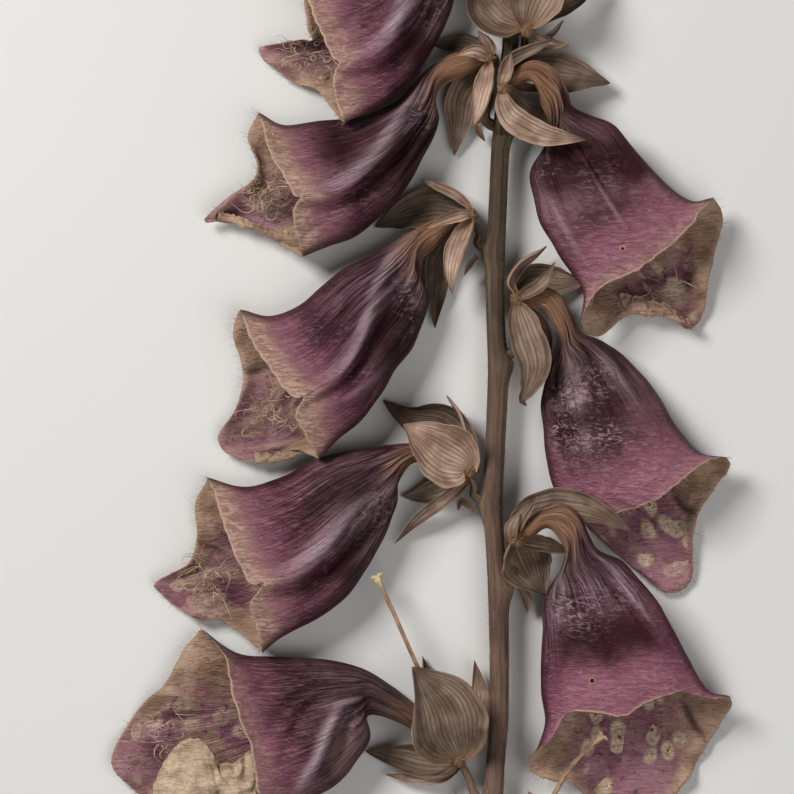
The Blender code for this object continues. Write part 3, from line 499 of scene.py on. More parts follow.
        "grey": 0.8, "habit": (0.85, 0.0, 0.7),
        "keel": [(0, 6.5), (0.15, 6.1), (0.25, 4.8), (0.36, 2.2), (0.5, 0), (1, -1.5)],
        "first": [(3.7, 51.8), (5.6, 52.4), (6.8, 50.6), (7.2, 48.2), (8.4, 45.4), (7.9, 41.6),
            (5.8, 38.4), (5.6, 35), (7.6, 28), (11.5, 21.8), (14.3, 17), (13.6, 12.3)],
        "second": [(2.1, 54), (6.2, 56), (9.9, 54.4), (11.7, 50.8), (12.4, 48.3), (15.3, 46.8),
            (19.5, 45), (24.2, 39.6), (28.7, 35.1), (32.5, 32.7), (36.6, 32.9)],
        "near": [(15.2, 15.4), (17.6, 18), (22.2, 20.1), (27.3, 23.5), (32.1, 28), (34.1, 31.1)],
        "far": [(14.9, 10.6), (17.4, 9.9), (22, 13), (28.7, 13.4), (33.1, 10.1), (35.3, 14),
            (36.3, 21.8), (37.9, 27.7), (37.9, 30.8)],
        "folds": [([(14.6, 39), (16.4, 35.4), (18.8, 31.6), (21.2, 28)], 0.7, 0.9), ([(9.4, 40.6),
            (13, 38.4), (19, 39), (23, 37.6)], 1.5, -1.2), ([(9, 36), (9.6, 31), (12.4, 25.6),
            (15.6, 21)], 1.3, 0.7), ([(24, 38), (27, 34), (30.4, 31)], 1.3, 0.6), ([(13.4, 45),
            (17.8, 42.4), (22.6, 38)], 1.3, 0.7)],
        "lip_folds": [([(28.6, 32.4), (31.4, 31.4), (34, 31)], 0.6, 1.8), ([(20.6, 16.2), (27.8, 15.4),
            (31.4, 13)], 0.8, 1.8), ([(33, 27), (33.4, 20), (32.4, 14)], 1.2, 1.0), ([(22, 19),
            (27, 19.6), (31, 22)], 1.0, -1.0)],
        "crumple": [(7.6, 38, 2.0, 0.35), (16.5, 36, 4, 0.12)],
        "shade": [(13.6, 40, 4.6, -1.0), (9, 36, 3.0, -0.6), (20, 40, 3, -0.7), (23.4, 37.6, 2.4, -0.6),
            (17, 32.6, 6, -0.3), (30, 17, 3.4, 1.1), (25, 15, 2.6, 0.9)],
    },
    "R2": {
        "cup": (3.6, 16.3, 4.4), "ridge": 0.66, "edges": (2.6, 5.5), "lip": (28, -28, 12),
        "bleach": 0.15, "grey": 0.65, "habit": (1.0, 0.0, 0.9),
        "crest": [(0, 5.9), (0.15, 5.9), (0.22, 6.2), (0.35, 8), (0.55, 10.5), (0.8, 11.5), (1, 11)],
        "first": [(5.8, 14.9), (8, 14.6), (9.5, 12), (10.5, 8.4), (9.1, 5.2), (7.6, 0.5), (7.8, -5),
            (8.8, -13), (10.5, -16.6), (14.5, -19)],
        "second": [(5.4, 18), (8.4, 18.4), (10.8, 17), (12.4, 14), (13.9, 10.9), (17.5, 9.3),
            (21.8, 6.3), (26.7, 0.5), (30.3, -5.3), (33.9, -9.2), (38.1, -10)],
        "near": [(17.5, -19.5), (20.5, -19.6), (26.4, -17.3), (32, -13.3), (35, -10.8)],
        "far": [(16.8, -23), (19.8, -26), (24.3, -30.4), (29.3, -33.7), (33.2, -31.8), (33.6, -24.6),
            (35.7, -18.4), (38.9, -12.2)],
        "folds": [([(13, 12.6), (14.6, 8.4), (16.8, 3.4), (19.6, -2.6)], 0.9, -1.1), ([(11.6, 9),
            (12.6, 3), (13.4, -3), (15, -9)], 1.8, 1.1), ([(10, 4), (9.8, -3), (11, -9), (13, -14)],
            1.2, -1.0), ([(15, 10), (19.6, 4.4), (24, -2)], 1.6, 0.8), ([(17.6, 8.4), (23, 2.4),
            (28, -5)], 1.0, -0.6)],
        "lip_folds": [([(29, -15), (32, -19), (35.4, -20)], 0.9, -1.2), ([(18, -22), (23, -25.4),
            (28, -27)], 1.0, 0.9), ([(33, -13.4), (35.6, -16.6)], 1.0, 1.0), ([(17, -24), (22, -28.4),
            (28, -32)], 0.8, -0.9)],
        "crumple": [(12.6, 1, 3.6, 0.42), (14, -8, 3.4, 0.36), (18.8, -7, 2.8, 0.36),
            (16.8, 3.4, 3.0, 0.3), (10.6, -5, 2.4, 0.3)],
        "shade": [(17.6, -2, 5, -0.7), (11.4, -4.6, 3.2, -0.55), (9.6, 2, 2.4, -0.6),
            (13, 1, 2.2, 0.6)],
    },
    "R3": {
        "cup": (3.2, -23.5, 10.2), "ridge": 0.5, "edges": (6.0, 6.0), "lip": (21, -64, 11),
        "bleach": 0.05, "grey": 0.1, "habit": (1.0, 0.0, 0.85),
        "crest": [(0, 11.7), (0.12, 12), (0.25, 11.6), (0.45, 12), (0.8, 12.6), (1, 11.8)],
        "keel": [(0, 8.8), (0.2, 8.6), (0.3, 6), (0.42, 2.4), (0.55, 0), (1, -1.5)],
        "first": [(5.8, -23.3), (8, -21.8), (9.6, -22.6), (11.1, -25.6), (10.6, -28.4), (7.9, -33),
            (7.3, -38), (7.1, -46.6), (7.9, -54), (7, -58), (5.2, -60)],
        "second": [(4.1, -21.1), (7.5, -18.6), (10.8, -17.6), (13.6, -19.2), (15.2, -22.5), (17, -25.4),
            (21.2, -27.7), (27.1, -34.6), (31.9, -43.2), (35, -48.7), (38.9, -49.9)],
        "near": [(8.4, -57.6), (10.2, -53.8), (12.5, -52.2), (17.1, -52.5), (21.2, -53), (26, -50.4),
            (31.5, -48.9), (35.6, -50.2)],
        "far": [(5.7, -62.8), (9.2, -64.7), (13, -65.5), (17.5, -69.5), (23.5, -72), (29.5, -70),
            (32.4, -65.5), (34.3, -60.4), (37.1, -55.9), (39.4, -52)],
        "folds": [([(11.3, -22.6), (11.4, -26.4), (9.6, -31.4), (8.8, -37)], 0.45, 1.1),
            ([(14.4, -21.6), (16.4, -25.8), (20.4, -30.6), (25, -37)], 0.45, 1.1), ([(12.8, -20.6),
            (13, -26.6), (14.6, -32), (17, -37)], 0.4, 0.8), ([(12.6, -26), (13.9, -30.6),
            (16.2, -36.4), (19, -42)], 0.9, -0.8), ([(14.6, -25), (18.6, -31), (23, -36.4), (27, -41)],
            0.8, -0.8), ([(11.6, -27.4), (11, -32.4), (10.4, -38)], 0.9, 0.7), ([(15.4, -25.6),
            (20.6, -30.6), (25.6, -37.4), (29.6, -43.6)], 0.9, 0.6), ([(13.6, -26), (15.4, -32),
            (17, -37)], 0.7, 0.5), ([(11, -43.6), (17, -45.2), (24, -43.4)], 2.6, -0.9)],
        "lip_folds": [([(31, -50.6), (33, -54.6), (35.4, -57.6)], 0.8, -1.3), ([(9, -56), (11, -60),
            (13, -64)], 1.2, 0.9), ([(34.6, -51), (36.6, -54)], 1.0, 1.0)],
        "crumple": [(13.4, -35.4, 3.6, 0.45), (10.4, -33.6, 2.2, 0.3), (20.6, -33, 3, 0.25)],
        "shade": [(14.4, -40.6, 5.2, -0.85), (22, -40.6, 5.2, -0.85), (12.6, -35.4, 2.4, 0.4)],
    },
}

# Both rims start and end where the two sides do.
for flower in BELLS.values():
    for rim in ("near", "far"):
        flower[rim] = [flower["first"][-1], *flower[rim], flower["second"][-1]]


def step(low, high, value):
    """0 below low, 1 above high, and between them 3t² - 2t³, t being the part of the way."""
    t = np.clip((value - low) / (high - low), 0, 1)
    return t * t * (3 - 2 * t)


def hump(s, steep=4):
    """0 at both ends of s and 1 in the middle, as a parabola cut off at 1."""
    return np.clip(steep * s * (1 - s), 0, 1)


def unit(vectors):
    """Vectors scaled to length 1."""
    return vectors / np.linalg.norm(vectors, axis=-1, keepdims=True)


def eased(height, tallest, room):
    """Heights whose excess over tallest is pressed down to room * (1 - exp(-excess / room))."""
    tall = np.maximum(height - tallest, 0)
    return height + (room * (1 - np.exp(-tall / room)) - tall)


def bell_heights(flower):
    """Heights of the two walls along the bell, as (place, height) points."""
    rise = flower["cup"][2]
    crest = [(0, rise + 1.5), (0.12, rise + 1.8), (0.3, 8.6), (0.55, 11), (0.8, 12), (1, 11.5)]
    keel = [(0, rise - 1.4), (0.14, rise - 1.4), (0.3, 1.6), (0.45, 0), (1, -1.5)]
    return flower.get("crest", crest), flower.get("keel", keel)


def wall(flower, t, s, upper, inset=0.0):
    """Points of a bell's smooth wall.

    t runs from the neck to the rim and s from the first side to the second. Seen from above a point
    lies between its two sides, plus the bend of the rim, which fades towards the neck. The upper
    wall arches from its edges up to its crest and the lower one sags to its keel. inset is how far
    the wall lies inside the outer skin.
    """
    inset = np.broadcast_to(inset, (len(t), 1))
    sides = np.stack([curve(flower[key], t[:, 0]) for key in ("first", "second")])
    inward = unit(sides[1] - sides[0])
    sides = sides + np.stack([inward, -inward]) * inset
    across = s[..., None]
    corners = np.array([flower["near"][0], flower["near"][-1]], float)
    near, far = (curve(flower[rim], s.ravel()).reshape(*s.shape, 2) for rim in ("near", "far"))
    rims = np.where(upper[..., None], near, far) - between(*corners, across)
    plane = between(sides[0][:, None], sides[1][:, None], across) + t[..., None] ** BELL_FLARE * rims
    rise = flower["cup"][2]
    crest, keel = (np.interp(t, *np.transpose(line)) for line in bell_heights(flower))
    low = np.interp(t, (0, 0.5, 1), (rise, rise - 0.5, flower["edges"][0]))
    high = np.interp(t, (0, 0.5, 1), (rise, rise + 0.5, flower["edges"][1]))
    edge = between(low, high, s)
    warp = s ** (math.log(0.5) / math.log(flower["ridge"]))
    above = edge + (crest - inset - edge) * hump(warp) ** ARCH
    below = edge + (keel + inset - edge) * hump(s) ** ARCH
    return np.concatenate([plane, np.where(upper, above, below)[..., None]], -1)


def fold_field(flat, lines):
    """Height of a set of folds (line, width, height): sharp crests that taper at both ends.

    A fold's height falls away with the distance from its line as (1 + (distance / width)²)^-1.6.
    """
    total = np.zeros(flat.shape[:-1])
    places = np.linspace(0, 1, 90)
    for line, width, height in lines:
        apart = np.linalg.norm(flat[..., None, :] - curve(line, places), axis=-1)
        along = places[apart.argmin(-1)]
        taper = np.sin(math.pi * (0.08 + 0.84 * along)) ** 0.6
        total += height * taper / (1 + (apart.min(-1) / width) ** 2) ** 1.6
    return total


def spots(flat, patches):
    """Sum of round soft patches (x, y, radius, strength)."""
    return sum((strength * near_zero(np.hypot(flat[..., 0] - x, flat[..., 1] - y), radius)
                for x, y, radius, strength in patches), 0.0 * flat[..., 0])


def bell_relief(flower, seed, points, t, s, upper):
    """Height over the smooth wall in mm, and the fold, groove and crumple strengths that colour it.

    Long narrow grooves fan out from the neck between soft pleats, the listed folds cross each
    wall, and dents, fine creases and crumpled patches fill the rest. All die out at the sides, where
    the walls meet.
    """
    flat = points[..., :2]
    x, y = flat[..., 0], flat[..., 1]
    folds = FOLD_LIFT * fold_field(flat, flower["folds"]) * upper
    folds += fold_field(flat, flower["lip_folds"]) * ~upper
    bend = 0.4 * noise(t * 5, s * 4, seed + 1) + 0.2 * noise(t * 13, s * 9, seed + 2)
    broad = noise(s * 10 + bend, t * 2.0 + seed, seed + 3)
    narrow = noise(s * 18 + 2 * bend, t * 3.4 + seed, seed + 4)
    neck_zone = step(0.02, 0.3, t) * (1 - step(0.42, 0.8, t))
    mid_zone = step(0.1, 0.3, t) * (1 - step(0.45, 0.75, t))
    groove = np.maximum(near_zero(broad, 0.15) * neck_zone, 0.75 * near_zero(narrow, 0.22) * mid_zone)
    pleats = -0.5 * groove + 0.4 * broad * neck_zone + 0.2 * narrow * mid_zone
    dents = 0.5 * rough(x / 7, y / 7, seed + 5)
    creases = near_zero(noise(x / 2.6 + bend, y / 1.1 + 3 * bend, seed + 6), 0.2)
    creases = creases * (0.3 + 0.7 * step(-0.2, 0.5, noise(x / 5, y / 5, seed + 7)))
    crumpled = np.clip(spots(flat, flower["crumple"]) * upper * 2.4, 0, 1)
    crest = near_zero(rough(x / 1.5, y / 1.1, seed + 8, 2), 0.16) * crumpled
    relief = folds + np.where(upper, 1.0, 0.6) * pleats + np.where(upper, 1, 1.3) * dents
    relief = relief - 0.13 * creases + 0.5 * crest - 0.2 * crumpled
    crinkled = 0.45 * rough(x / 2.6, y / 2.0, seed + 9, 2) * step(0.5, 0.7, t)
    relief = relief + (LIP_LIFT * step(0.5, 0.85, t) + crinkled) * ~upper
    marks = together(folds + 0.4 * broad * neck_zone, np.clip(groove, 0, 1), crumpled)
    return relief * hump(s) ** 0.45 * step(0.0, 0.1, t), marks


def bell_grid():
    """Where a bell's points lie: along it, across it, whether on the upper wall and on the inner skin.

    Rings crowd a little at the rim, and points across a wall at its two sides.
    """
    rows = (np.linspace(0, 1, UPPER), np.linspace(0, 1, LOWER + 2)[1:-1])
    across, back = (0.55 * w + 0.45 * (1 - np.cos(math.pi * w)) / 2 for w in rows)
    outer = np.linspace(0, 1, OUTER) ** 0.92
    inner = np.linspace(1, 0, INNER) ** 0.8
    t, s = np.meshgrid(np.r_[outer, inner], np.r_[across, 1 - back], indexing="ij")
    upper = np.broadcast_to(np.arange(UPPER + LOWER) < UPPER, t.shape)
    inside = np.broadcast_to((np.arange(OUTER + INNER) >= OUTER)[:, None] * 1.0, t.shape)
    return t, s, upper, inside


def bell_points(flower, seed):
    """A bell's outer and inner skin over its smooth wall, and what marks it.

    The inner skin is sunk under sharp folds, so that it stays below the outer one. The rim waves,
    frays and rolls back, and the lower one curls up. The sides shiver a little.
    """
    t, s, upper, inside = bell_grid()
    skin = NECK_SKIN + (RIM_SKIN - NECK_SKIN) * step(0.3, 1, t[:, :1])
    smooth = wall(flower, t, s, upper)
    points = np.where(inside[..., None] > 0, wall(flower, t, s, upper, skin), smooth)
    relief, marks = bell_relief(flower, seed, smooth, t, s, upper)
    wave = 0.8 * noise(s * 7, 0.5, seed + 11) + 0.3 * noise(s * 19, 0.5, seed + 12)
    relief = relief + step(0.86, 1.0, t) * wave
    curl = step(0.84, 1.0, t) ** 1.5 * hump(s) * (LIP_CURL + 1.4 * noise(s * 6, 0.5, seed + 16))
    relief = relief + curl * ~upper
    sunk = inside * upper * (0.3 + 0.7 * np.abs(marks[..., 0])) * (1 - step(0.85, 1, t))
    points[..., 2] += relief - sunk
    corners = np.array([flower["near"][0], flower["near"][-1]], float)
    away = unit(corners.mean(0) - flower["cup"][:2])
    ragged = 0.4 * noise(s * 12, upper * 5.0, seed + 13) + 0.25 * noise(s * 40, upper * 5.0, seed + 14)
    points[..., :2] += (step(0.9, 1, t) * 0.5 * (ragged - 0.5))[..., None] * away
    rolled = np.clip(0.5 + 1.4 * noise(s * 5, 2.5, seed + 17), 0, 1) * hump(s, 6)
    rolled = rolled * np.where(upper, 0.3, 1) * step(0.93, 1, t)
    points[..., :2] -= (RIM_ROLL * rolled**2)[..., None] * away
    points[..., 2] += RIM_RISE * rolled
    shiver = 0.25 * noise(t * 12, np.round(s) * 7, seed + 15) * (1 - hump(s, 6))
    points[..., 0] += shiver * step(0, 0.1, t)
    points[..., 2] = np.maximum(eased(points[..., 2], TALLEST, 1.5), skin * inside + 0.05)
    return points, smooth, marks


def bell(name, seed):
    """One corolla's points, and the fields that its material reads.

    edge holds the distances in mm from the rim, the neck and the nearer side, measured along the
    smooth outer wall. tone holds shade, bleach and grey; shade is patches of painted light and
    painted shade, some of them the wall's own pale and dark colour. part holds whether a point is
    inside, on the lower wall and on the lip. flow counts mm along the bell and sixtieths of its width.
    """
    flower = BELLS[name]
    points, smooth, marks = bell_points(flower, seed)
    t, s, upper, inside = bell_grid()
    gaps = np.linalg.norm(np.diff(smooth[:OUTER], axis=0), axis=-1)
    length = np.vstack([0 * gaps[:1], np.cumsum(gaps, axis=0)])
    length = np.vstack([length, read_at(t[OUTER:, 0], t[:OUTER, 0], length)])
    width = np.linalg.norm(smooth[:, 0] - smooth[:, UPPER - 1], axis=-1)[:, None]
    lip_x, lip_y, lip_reach = flower["lip"]
    lip = near_zero(np.hypot(smooth[..., 0] - lip_x, smooth[..., 1] - lip_y), lip_reach)
    fields = {
        "edge": together(length[OUTER - 1] - length, length, np.minimum(s, 1 - s) * width),
        "mark": marks,
        "tone": together(spots(smooth, flower["shade"]), flower["bleach"], flower["grey"]),
        "part": together(inside, ~upper * 1.0, lip),
        "flow": together(s * 60, length, seed),
        "habit": together(*flower["habit"], s)[..., :3],
    }
    return points, fields


def settled(points):
    """A drawn bell moved to its place on the spike, its lowest point on the table, inside the box."""
    moved = points + STEM_SHIFT
    low, high = np.array(cad_box) / MM
    moved[..., 2] += low[2] - moved[..., 2].min()
    return np.clip(moved, low, high)


def dried_petal():
    """Dried foxglove petal: thin silky skin, plum where it was purple and beige where it bleached.

    Outside, grey lilac pleats and grooves run from an ochre neck into a plum wall that pales at
    the rim. Painted shade darkens the grooves, the fold valleys, the fine creases and both sides,
    and painted highlights lie on the fold crests, the fine creases and the crumples; patches of
    painted light and shade are partly the wall's own colour. Inside it is beige and mauve, with
    painted shade deep in the throat and the fold valleys, and pale blotches round dark dots below.
    """
    material, add = start_material("dried_petal_skin")
    place, flow = add("place"), add("vector", attribute_name="flow")

    def read(key):
        return add("split", add("vector", attribute_name=key))

    def lines(value, width):
        """Thin lines where value is one half."""
        return add("reach", add("unsigned", add("minus", value, 0.5)), width, 0.0)

    spotted, lined, rosy = read("habit")
    rim, neck, side = read("edge")
    fold, groove, crumple = read("mark")
    shade, bleach, grey = read("tone")
    inside, under, lip = read("part")
    way = add("over", neck, add("plus", neck, add("plus", rim, 0.01)))  # 0 at the neck, 1 at the rim

    streak = grain(add, flow, (1.4, 0.13, 1), 4.0, 0.3)  # 0.4 mm wide and 8 mm long, along the bell
    thread = grain(add, flow, (1.9, 0.07, 1), 2.0, 0.6)  # hair-thin wrinkles 14 mm long
    hatch = grain(add, place, (520, 2250, 900), 3.5, 1.1, 0.12)  # wavy creases 0.4 mm apart
    crinkle = grain(add, place, (420, 1050, 700), 4.0, 1.8, 0.1)  # crumples 1 to 2 mm across
    foil = grain(add, place, (800, 800, 800), 3.0, 0.8)  # blotches 1.2 mm across
    cloud = grain(add, place, (170, 170, 170), 5.0)  # patches 6 mm across
    grit = grain(add, place, (2600, 2600, 2600), 3.0)  # grit 0.4 mm across
    far_up = add("reach", way, 0.75, 0.42)
    creased = add("minus", 1.0, add("times", far_up, 0.7))
    wrinkled = add("larger", add("reach", way, 0.5, 0.25),
                   add("times", add("reach", way, 0.95, 0.7), lined))
    wobble = add("times_plus", cloud, 6.0, -3.0)
    edge = add("plus", rim, wobble)
    root = add("plus", neck, add("times", streak, -14.0))

    lilac = mottle(add, streak, 0.36, 0.62, "#472431", "#977782")
    dull = mottle(add, cloud, 0.34, 0.66, "#43292c", "#775a5b")
    # Painted shade for the grooves, from plum at the neck to near black further out.
    deep = mottle(add, neck, 3.0, 14.0, "#5b2c3c", "#2b0d13")
    pink = mottle(add, hatch, 0.34, 0.66, "#8a5163", "#a5707f")
    beige = mottle(add, hatch, 0.38, 0.62, "#936f62", "#bb9b8a")
    ochre = mottle(add, streak, 0.4, 0.62, "#955d47", "#e4b58c")
    outside = coats(add, mottle(add, cloud, 0.34, 0.66, "#4a1f30", "#7a4356"), [
        (add("times", far_up, 0.8), lilac),
        (add("times", grey, add("reach", way, 0.95, 0.6), 0.75), dull),
        # Pale streaks near the neck: partly the skin's own pale streaks, partly painted highlights on the
        # raised streaks.
        (add("times", add("reach", streak, 0.55, 0.72), far_up, 0.6), "#a3858b"),
        (add("times", lined, grey, far_up, add("reach", cloud, 0.3, 0.6), 0.5), "#96757d"),
        (add("times", lines(thread, 0.06), wrinkled, 0.95), "#22070f"),
        # Painted highlights on the fold crests and painted shade in the fold valleys.
        (add("reach", fold, 0.25, 1.5, 0.0, 0.8), "#b0909a"),
        (add("reach", fold, 1.3, 2.4, 0.0, 0.6), "#d0b9bf"),
        (add("reach", fold, -0.2, -1.5, 0.0, 0.85), "#360b14"),
        # Painted shade in the grooves.
        (add("times", groove, add("reach", neck, 4.0, 13.0, 0.45, 0.7)), deep),
        # Painted shade and painted highlights on the fine wavy creases.
        (add("times", add("reach", hatch, 0.48, 0.34), creased, 0.3), "#2f0f1a"),
        (add("times", add("reach", hatch, 0.53, 0.68), creased, 0.26), "#b58a97"),
        # Shade patches: painted light and painted shade, partly the wall's own pale and dark colour.
        (add("reach", shade, 0.1, 0.9, 0.0, 0.6), "#9c7674"),
        (add("reach", shade, -0.08, -0.75, 0.0, 0.92), "#2e0409"),
        # Painted shade and painted highlights on the crumpled patches.
        (add("times", crumple, add("reach", crinkle, 0.5, 0.34), 0.6), "#3a1a22"),
        (add("times", crumple, add("reach", crinkle, 0.48, 0.68), 0.7), "#b59ea5"),
        (add("times", add("reach", edge, 12.0, 5.0), rosy), pink),
        (add("times", add("reach", edge, 8.0, 3.2, 0.0, 0.6), bleach), "#8d665f"),
        (add("times", add("reach", edge, 5.0, 1.6, 0.0, 0.9), bleach), beige),
        (add("reach", rim, 0.6, 0.15, 0.0, 0.9), "#b89a80"),
        (add("times", add("reach", root, 10.0, -2.0), add("reach", groove, 0.9, 0.2)), ochre),
        # Painted shade along both sides, where the walls turn away from the light.
        (add("times", add("reach", side, 1.6, 0.1), add("reach", neck, 6.0, 16.0, 0.2, 0.8)), "#390c17"),
    ])

    # The spots of the lower lip are cells about 4 mm apart, and some are left out.
    middle = add("times", under, add("reach", side, 3.0, 7.0))
    cells = add("cells", add("stretch", flow, (0.17, 0.26, 1.0)), 1.0, 0.9)
    kept = add("reach", add("red", cells["Color"]), 0.2, 0.3)
    chosen = add("times", kept, middle, add("reach", rim, 0.8, 2.0), spotted)
    uneven = add("plus", add("times", cloud, 0.6), add("times", foil, 0.3))
    ring = add("plus", cells["Distance"], add("minus", uneven, 0.45))
    pale = add("larger", add("reach", edge, 4.6, 2.0),
               add("times", add("reach", add("plus", side, wobble), 6.5, 3.0), under))
    pale = add("times", pale, add("reach", rim, 17.0, 11.0), add("reach", lip, 0.9, 0.45, 0.15, 0.9))
    mauve = mottle(add, cloud, 0.36, 0.62, "#70414f", "#a27482")
    cream = mottle(add, foil, 0.35, 0.65, "#b39880", "#dfc8aa")
    straw = mottle(add, cloud, 0.36, 0.62, "#8e7059", "#bc9d83")
    within = coats(add, mottle(add, cloud, 0.4, 0.6, "#8e5668", "#b5947c"), [
        (add("times", add("reach", streak, 0.48, 0.3), 0.3), "#3f1f22"),
        (add("times", add("reach", lip, 0.2, 0.7), 0.8), mauve),
        (add("times", middle, spotted, 0.5), "#8a5868"),
        (add("times", add("reach", ring, 0.53, 0.34), chosen, 0.95), cream),
        (add("times", add("reach", cells["Distance"], 0.1, 0.06), chosen), "#240a0b"),
        (add("times", add("reach", ring, 0.3, 0.2), add("reach", grit, 0.6, 0.66), chosen), "#4a2418"),
        (add("times", add("reach", foil, 0.62, 0.68), under, 0.6), "#3c1c18"),
        (pale, straw),
        # Shade patches inside: painted light and painted shade, partly the pale cream of folded lobes.
        (add("reach", shade, 0.5, 1.0, 0.0, 0.5), "#dcc7a8"),
        (add("reach", shade, -0.05, -0.9, 0.0, 0.8), "#331316"),
        # Painted shade and painted highlights on the fine wavy creases.
        (add("times", add("reach", hatch, 0.49, 0.34), 0.35), "#4a2c25"),
        (add("times", add("reach", hatch, 0.54, 0.68), 0.35), "#b09480"),
        # Painted highlights on the fold crests and painted shade in the fold valleys.
        (add("reach", fold, 0.3, 1.4, 0.0, 0.5), "#b39780"),
        (add("reach", fold, -0.2, -1.2, 0.0, 0.8), "#1f0c0a"),
        (add("reach", rim, 0.6, 0.15, 0.0, 0.6), "#a88a6d"),
        # Painted shade deep in the throat, far from the rim.
        (add("reach", rim, 22.0, 36.0, 0.0, 0.85), "#120405"),
    ])
    raised = add("plus", add("times", hatch, creased, 0.9), add("times", streak, far_up),
                 add("times", lines(thread, 0.08), wrinkled, -0.8), add("times", crinkle, crumple, 1.7),
                 add("times", grit, 0.12))
    roughness = add("times_plus", crumple, -0.1, 0.6)
    return finish_material(material, add("mix", inside, outside, within), roughness, 0.22,
                           add("bump", raised, 0.9, 0.0005))


def into_cup(grid, fields, cup):
    """The same wall with its neck drawn on to the cup that it is plugged into."""
    ends = [cup + (row - cup) * 0.4 for row in (grid[0], grid[-1])]
    grid = np.concatenate([ends[0][None], grid, ends[1][None]])
    return grid, {key: np.concatenate([value[:1], value, value[-1:]]) for key, value in fields.items()}


def plain_fields(shape, seed, rim=9.0, inside=0.0, shade=0.0):
    """What the petal's material reads, for a small extra piece that is one tone all over."""
    rows = {"edge": (rim, 30, 9), "mark": (0, 0, 0), "tone": (shade, 1, 0),
            "part": (inside, inside, 0), "flow": (0, 0, seed), "habit": (0, 0, 0)}
    return {key: np.zeros((*shape, 3)) + row for key, row in rows.items()}


def folded_lobe(top, foot, base, rise, pale, seed):
    """Part of a lobe that dried pale and folded back over the mouth: a bowed, pleated sheet.

    top and foot are its two long edges seen from above, base and rise its heights in mm, pale how
    cream it is. It bows up across as a sine, in flat facets with narrow pleats pressed into them.
    """
    along, across = 90, 40
    s = np.linspace(0, 1, along)[:, None]
    k = np.r_[np.linspace(0, 1, across), np.linspace(1, 0, across)][None, :]
    plane = between(curve(top, s[:, 0])[:, None], curve(foot, s[:, 0])[:, None], k[..., None])
    x, y = plane[..., 0], plane[..., 1]
    pleat = near_zero(noise(s * 9 + 0.6 * k, k * 2, seed + 1), 0.2)
    facets = 1 - 2.4 * np.abs(noise(x / 2.6 + 5, y / 2.2 + 5, seed + 5))
    height = base + rise * (np.sin(math.pi * (0.12 + 0.6 * k)) - 0.4 * (2 * s - 1) ** 2)
    height = height + rise * (0.16 * facets + 0.12 * rough(x / 3, y / 2.6, seed) - 0.12 * pleat)
    height = height + 0.5 * near_zero(k, 0.08) - np.where(np.arange(2 * across) < across, 0, LOBE_SKIN)
    frill = 0.5 * noise(s * 13, 0.5, seed + 2) * (1 - k) + 0.4 * noise(s * 11, 4.5, seed + 2) * k
    frill = frill + 0.35 * noise(s * 37, 2.5, seed + 6) * (1 - k) ** 2
    fields = plain_fields(height.shape, seed, inside=1.0)
    fields["edge"][..., 0], fields["edge"][..., 2] = 0.2 + 4 * k, 3.0
    # The fold mark paints highlights on the raised facets and shade in the pleats.
    fields["mark"][..., 0] = 0.7 * facets - 0.45 * pleat + 0.2
    fields["tone"][..., 0], fields["part"][..., 2] = pale, 0.75 - 0.75 * pale
    fields["flow"][..., 0], fields["flow"][..., 1] = 30 * s, 10 * k
    return together(x, y + frill, height) + STEM_SHIFT * (1, 1, 0), "caps", fields


def pinhole(wall, x, y, radius, seed):
    """An insect's hole: a raised pale ring round a dark middle, on a bell's upper wall."""
    skin = wall[:OUTER, :UPPER].reshape(-1, 3)
    spot = skin[np.hypot(skin[:, 0] - x, skin[:, 1] - y).argmin()]
    u, v = turns(22)[:, None], turns(8)[None, :]
    out = radius + radius * 0.3 * np.cos(v)
    ring = together(out * np.cos(u), out * np.sin(u), radius * 0.3 * np.sin(v)) + spot
    size = radius * np.array([0.2, 0.7, 0.9, 0.9])[:, None]
    drop = np.array([0.02, 0.02, 0, -0.2])[:, None]
    cone = together(size * np.cos(u.T), size * np.sin(u.T), drop) + spot
    return [(ring, "ring", plain_fields(ring.shape[:2], seed, rim=0.1, inside=1.0)),
            # The middle cone is painted dark by a strongly negative shade: painted shade in the hole.
            (cone, "caps", plain_fields(cone.shape[:2], seed, shade=-2.0))]


FOLDED = {  # long edges, base, rise and how cream it is
    "L5": ([(-57.4, -64.6), (-56.4, -62.6), (-54.5, -59.6), (-51.9, -56.8), (-48.5, -57.7),
            (-46.3, -61), (-42.9, -60.1), (-41.2, -58.8)],
           [(-57.2, -67.5), (-54, -69.4), (-49.5, -70.2), (-45, -70), (-41, -68.6), (-39.6, -65.5)],
           4.4, 3.6, 1.0),
    "R1": ([(20.4, 17.4), (23.8, 16.8), (28, 15.4), (32.2, 12.8)],
           [(21.4, 14), (24.7, 13.4), (28.6, 13), (32.9, 11.2)], 2.2, 2.4, 0.3),
    "L2": ([(-46.4, 31.2), (-42.2, 29.9), (-38.1, 28.3), (-33.6, 27.6), (-31.4, 27.2)],
           [(-46.8, 29.4), (-42.4, 28.3), (-38.2, 26.7), (-33.3, 24.8), (-31.2, 25.2)],
           2.2, 1.9, 0.5),
    "L3": ([(-40.6, -9.4), (-37, -9.5), (-33.5, -8.4), (-31.4, -7.4)],
           [(-40.4, -11), (-36.6, -11.1), (-33, -9.8), (-30.8, -9.4)], 2.0, 1.8, 0.7),
}
HOLES = {"R1": (20.7, 24.5, 0.42), "R3": (15.5, -46.9, 0.5)}  # x, y and radius
petal = dried_petal()
BELL_WALLS = {}
